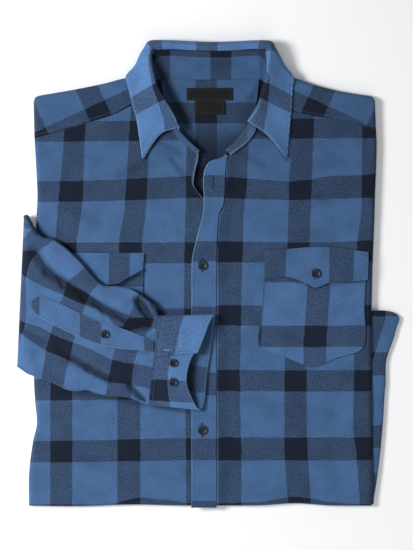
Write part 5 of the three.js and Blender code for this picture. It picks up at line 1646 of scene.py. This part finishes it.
def cuff_right():
    seam, mouth = line_through(CUFF, "sx sy sz"), line_through(CUFF, "mx my mz")
    us, vs = places("cuff", CUFF_SIZE)
    u, v = np.meshgrid(us, vs)
    grid = seam(v) + (mouth(v) - seam(v)) * u[..., None]
    points = np.array([[row[name] for name in ("sx", "sy", "sz")] for row in CUFF])
    at = np.concatenate([[0], np.cumsum(np.linalg.norm(np.diff(points, axis=0), axis=1))])
    rows = np.interp(v, at / at[-1], np.arange(len(CUFF)))
    normals = surface_normals(grid)
    around = v * CUFF_SIZE[1]
    inset = np.minimum(np.minimum(u, 1 - u) * CUFF_SIZE[0], np.minimum(around, CUFF_SIZE[1] - around))
    lift = groove(inset, CUFF_STITCH) - rounding(inset, CUFF_RADIUS) + pucker(around, inset, 8.0)
    grid = grid + normals * lift[..., None]
    face = grid + normals * CUFF_CLOTH / 2
    column = nearest(us * CUFF_SIZE[0], CUFF_STITCH)
    for k in (column, len(us) - 1 - column):
        stitches.row(face[:, k])
    stitches.row(face[nearest(vs * CUFF_SIZE[1], CUFF_STITCH), column:-column])
    across = u * CUFF_SIZE[0] / CUFF_BAND * DARK
    across = np.where(across < DARK, across, DARK + (across - DARK) * CUFF_REPEAT)
    check = np.stack([across, look_up(CUFF_CHECK, "row", "v", rows)], axis=-1)
    wear_and_light = edge_band((1 - u) * CUFF_SIZE[0], *CUFF_WEAR)
    shade = edge_band(u * CUFF_SIZE[0], *CUFF_SEAM_SHADE)
    deep = np.maximum(rise(grid[..., 0], CUFF_MOUTH_X), CUFF_SIDE * rise(grid[..., 1], CUFF_SIDE_Y))
    inside = CUFF_INSIDE + CUFF_DEEP * deep
    cloth("cuff_right", grid, check, CUFF_CLOTH, painted_brighter_flannel, None, wear_and_light, shade, inside, 0.5)


LEFT_FOLD = table("share z", [
    [0, 5.4], [0.5, 5.6], [0.86, 5.2], [1, 3.2], [0.86, 1.2], [0.5, 0.8], [0, 0.8],
])
LEFT_FOLD_SIZE = (40.0, 270.0)
LEFT_FOLD_LEAST = 1.5
LEFT_FOLD_END = table("x y", [[215.8, -288], [213.6, -299]])
# How far out from the body its lengthwise dark band reaches
LEFT_FOLD_DARK = table("y out", [[-56.6, 17], [-100.8, 4], [-130, -8]])


def sleeve_left():
    """The folded edge of the left sleeve, beside the body."""
    us, vs = places("left_fold", LEFT_FOLD_SIZE)
    section = line_through(LEFT_FOLD, "share z")(us)
    edge = plan(SLEEVE_LEFT_EDGE + LEFT_FOLD_END)(vs)
    y = np.repeat(edge[:, 1:], len(us), axis=1)
    rim = look_up(BODY_SIDE_LEFT, "y", "x", y) + SEAM_GAP
    x = rim + np.maximum(edge[:, :1] - rim, LEFT_FOLD_LEAST) * section[:, 0]
    grid = np.dstack([x, y, np.repeat(section[None, :, 1], len(vs), axis=0)])
    out = x - rim - look_up(LEFT_FOLD_DARK, "y", "out", y)
    check = np.stack([DARK + out / REPEAT, bands(STRIP_DOWN, 0)(x, y)], axis=-1)
    cloth("sleeve_left", grid, check, CLOTH, body_flannel, share=0.5)


# Labels and buttons

LABEL_EDGE = ((0, 0.3, 0.8), (0, 0.3, 0.8))


def label(name, x, y, width, depth, satin):
    us, vs = places("label", (width, depth), LABEL_EDGE, LABEL_EDGE)
    u, v = np.meshgrid(us, vs)
    dx, dy = (u - 0.5) * width, (v - 0.5) * depth
    inset = np.minimum(width / 2 - np.abs(dx), depth / 2 - np.abs(dy))
    z = LABEL_Z + LABEL_THICK - rounding(inset, 0.8) + 0.12 * np.sin(dx / 7 + 1)
    points, faces = wall(np.dstack([x + dx, y + dy, z]), 0.8)
    uv = np.stack([dx, dy], axis=-1).reshape(-1, 2)
    material = label_cloth(satin, width, depth)
    piece = make(name + "_cloth", points, faces, np.concatenate([uv, uv]), material)
    fit(piece, "label_cloth", name)


BUTTON_PROFILE = table("share z", [
    [0, 0.7], [0.5, 0.7], [0.66, 0.74], [0.74, 0.9], [0.84, 1.0], [0.93, 0.96], [0.985, 0.85],
    [1.0, 0.65], [0.97, 0.4], [0.88, 0.15], [0.75, 0.0], [0, 0.0],
])
BUTTON_TURNS = 72
BUTTON_RINGS = 64
BUTTON_FACE = 24  # rings of its upper face, which the holes go into
HOLE = 0.9
HOLE_OUT = 1.5
HOLE_DEPTH = 1.5
THREAD_SINK = 0.5
THREAD_APART = 0.25
THREAD_LIFT = 0.45


def button(name, x, y, z, radius):
    """A turned button with four holes, and the thread through them."""
    share, height = line_through(BUTTON_PROFILE, "share z")(np.linspace(0, 1, BUTTON_RINGS)).T
    angle = np.arange(BUTTON_TURNS) * 2 * np.pi / BUTTON_TURNS
    out = np.clip(share, 0, 1)[:, None] * radius * np.ones(BUTTON_TURNS)
    dx, dy = out * np.cos(angle), out * np.sin(angle)
    dz = height[:, None] * BUTTON_THICK * np.ones(BUTTON_TURNS)
    upper = (np.arange(BUTTON_RINGS) < BUTTON_FACE)[:, None]
    for i in (-1, 1):
        for j in (-1, 1):
            away = np.hypot(dx - i * HOLE_OUT, dy - j * HOLE_OUT)
            dz = dz - upper * HOLE_DEPTH * (1 - rise(away, (HOLE * 0.75, HOLE * 1.25)))
    points = np.dstack([x + dx, y + dy, z + dz]).reshape(-1, 3)
    faces = grid_faces(BUTTON_RINGS, BUTTON_TURNS, 0, True, True)
    piece = make(f"button_{name}_plastic", points, faces, None, button_plastic)
    fit(piece, "button_plastic", "button_" + name)
    base = np.array([x, y, z + BUTTON_THICK * BUTTON_PROFILE[0]["z"] - THREAD_SINK])
    for j in (-1, 1):
        for k in (-THREAD_APART, THREAD_APART):
            across = np.array([HOLE_OUT, 0, 0])
            middle = base + [0, j * HOLE_OUT + k, 0]
            marks.one(middle - across, middle + across, THREAD_LIFT)


BAR_PITCH = 0.75
BAR_OUT = 0.55
BAR_HALF = 0.42
BAR_HEAD = 0.3
BAR_LIFT = 0.1


def buttonhole(x, y, z, length, upright=True, width=1.3, into=marks):
    """Two rows of close thread beside a slit, with a bar at each end."""
    half = length / 2
    along, out = np.array([[0, 1, 0], [1, 0, 0]] if upright else [[1, 0, 0], [0, 1, 0]])
    for side in (-1, 1):
        for k in np.arange(-half, half, BAR_PITCH):
            middle = np.array([x, y, z]) + along * k + side * out * width * BAR_OUT
            reach = side * out * width * BAR_HALF
            into.one(middle - reach, middle + reach, BAR_LIFT)
    for end in (-1, 1):
        for k in (-BAR_HEAD, BAR_HEAD):
            middle = np.array([x, y, z]) + along * (end * half + k)
            into.one(middle - out * width, middle + out * width, BAR_LIFT * 1.5)


# Yoke check: turned to the shoulder on each side
YOKE_TURN = 24.8
YOKE_START = (0.094, -0.063)
yoke_right_check = turned(-156.0, 223.0, YOKE_TURN, *YOKE_START)
yoke_left_check = turned(152.0, 227.0, YOKE_TURN, *YOKE_START, mirrored=True)

folded_body()
right_edges = (FRONT_RIGHT_HEM, FRONT_RIGHT_TOP, FRONT_RIGHT_SIDE, FRONT_RIGHT_EDGE)
left_edges = (FRONT_LEFT_HEM, FRONT_LEFT_TOP, FRONT_LEFT_EDGE, FRONT_LEFT_SIDE)
front("front_right", right_edges, FRONT_RIGHT_WIDTH, 0, check_from(RIGHT_ACROSS, RIGHT_DOWN, 0, 1))
front("front_left", left_edges, FRONT_LEFT_WIDTH, 1, check_from(LEFT_ACROSS, LEFT_DOWN, 3, 1))
right_edges = (YOKE_SEAM_RIGHT, SHOULDER_RIGHT, YOKE_RIGHT_SIDE, YOKE_NECK_RIGHT)
left_edges = (YOKE_SEAM_LEFT, SHOULDER_LEFT, YOKE_LEFT_SIDE, YOKE_NECK_LEFT)
yoke("yoke_right", right_edges, yoke_right_check, False)
yoke("yoke_left", left_edges, yoke_left_check, True)
yoke_inside()
placket()
left_check = check_from(POCKET_LEFT_ACROSS, POCKET_LEFT_DOWN)
right_check = check_from(POCKET_RIGHT_ACROSS, POCKET_RIGHT_DOWN)
pocket("pocket_left", POCKET_LEFT, left_check, painted_bright_flannel)
pocket("pocket_right", POCKET_RIGHT, right_check, body_flannel)
flap("flap_left", FLAP_LEFT, FLAP_LEFT_ACROSS)
flap("flap_right", FLAP_RIGHT, FLAP_RIGHT_ACROSS)
collar_stand()
collar_leaf()
sleeve_right()
sleeve_placket()
cuff_right()
sleeve_left()
label("neck_label", 2.2, 234.4, 59.8, 16.1, "label_cloth")
label("size_label", 2.6, 216.8, 39.0, 18.0, "size_label_cloth")
for row in BUTTONS:
    button(**row)
for place in ((-7.2, 11.8, 13.6, 17), (-7.4, -201.9, 13.6, 17), (7.0, 119.5, 13.6, 16)):
    buttonhole(*place)
buttonhole(-35.4, -85.8, 27.9, 14, into=bright_marks)
buttonhole(-49.4, -97.5, 27.2, 14, upright=False, into=bright_marks)
stitches.build("stitching", blue_thread)
marks.build("buttonholes", dark_thread_and_slit_shade)
bright_marks.build("cuff_buttonholes", bright_thread)

# Each sheet as it was cut, in mm, with its area in square metres, of what shows
CORE = "folded_body_cloth"
FRONTS = "front_right_cloth front_left_cloth"
SHEETS = table("name width length area held on", [
    ["folded_body", 455, 562, 0.25, "folded", ""],
    ["front_right", 257, 532, 0.117, "laid", CORE],
    ["front_left", 210, 554, 0.103, "laid", CORE],
    ["yoke_right", 169, 56, 0.0075, "folded", CORE],
    ["yoke_left", 154, 47, 0.006, "folded", CORE],
    ["yoke_inside", 128, 150, 0.0113, "laid", CORE],
    ["placket", 35, 478, 0.0153, "laid", FRONTS],
    ["pocket_right", 133, 172, 0.016, "laid", "front_right_cloth"],
    ["pocket_left", 140, 181, 0.0173, "laid", "front_left_cloth"],
    ["flap_right", 140, 49, 0.0055, "laid", "pocket_right_cloth"],
    ["flap_left", 139, 54, 0.006, "laid", "pocket_left_cloth"],
    ["collar_stand", 41, 427, 0.0085, "folded", "yoke_inside_cloth"],
    ["collar_leaf", 72, 457, 0.0192, "folded", "collar_stand_cloth " + FRONTS],
    ["sleeve_right", 290, 245, 0.068, "folded", "front_right_cloth"],
    ["sleeve_placket", 30, 178, 0.0045, "laid", "sleeve_right_cloth"],
    ["cuff_right", 71, 275, 0.0167, "folded", FRONTS],
    ["sleeve_left", 72, 255, 0.00875, "folded", CORE],
    ["neck_label", 60, 16.5, 0.00099, "laid", "yoke_inside_cloth"],
    ["size_label", 39.5, 18.5, 0.00073, "laid", "yoke_inside_cloth"],
])
for sheet in SHEETS:
    sheet["on"].split()

# Stage: a pale floor, soft light from the upper left, and a camera straight above

FLOOR_SIZE = 6.0
FLOOR_DROP = 0.4 * MM
FLOOR_TONES = ((0.93, 0.93, 0.93, 1), (0.96, 0.96, 0.96, 1))
FLOOR_GRAIN = (30.0, 2.0)
FLOOR_LOOK = {"Roughness": 0.9, "Emission Color": (1, 1, 1, 1), "Emission Strength": 0.12}
SKY = (0.93, 0.96, 1.0, 1)
SKY_STRENGTH = 0.2
LIGHTS = table("name place size power", [
    ["key", (-1.5, 0.2, 1.4), 0.6, 39.5], ["fill", (0.3, -1.6, 1.7), 2.0, 15],
])
CAMERA = (-1.95 * MM, -0.65 * MM, 2.988)
LENS = 150.0


def show(name, data):
    piece = bpy.data.objects.new(name, data)
    bpy.context.scene.collection.objects.link(piece)
    return piece


def stage():
    n = Nodes("floor")
    grain = n.noise(n.place(), *FLOOR_GRAIN)
    n.look({"Base Color": n.mix(grain, *FLOOR_TONES), **FLOOR_LOOK})
    half = FLOOR_SIZE / 2
    corners = [(-half, -half, 0), (half, -half, 0), (half, half, 0), (-half, half, 0)]
    mesh = bpy.data.meshes.new("floor")
    mesh.from_pydata(corners, [], [(0, 1, 2, 3)])
    mesh.materials.append(n.material)
    floor = show("floor", mesh)
    floor.location.z = -FLOOR_DROP

    world = bpy.data.worlds.new("studio")
    world.use_nodes = True
    sky = world.node_tree.nodes["Background"].inputs
    sky[0].default_value = SKY
    sky[1].default_value = SKY_STRENGTH
    bpy.context.scene.world = world
    bpy.context.scene.view_settings.view_transform = "Standard"

    for row in LIGHTS:
        light = bpy.data.lights.new(row["name"], "AREA")
        light.size = row["size"]
        light.energy = row["power"]
        lamp = show(row["name"], light)
        lamp.location = row["place"]
        lamp.rotation_euler = (-Vector(row["place"])).to_track_quat("-Z", "Y").to_euler()

    camera = bpy.data.cameras.new("camera")
    camera.lens = LENS
    camera.clip_end = 20
    view = show("camera", camera)
    view.location = CAMERA
    bpy.context.scene.camera = view


stage()
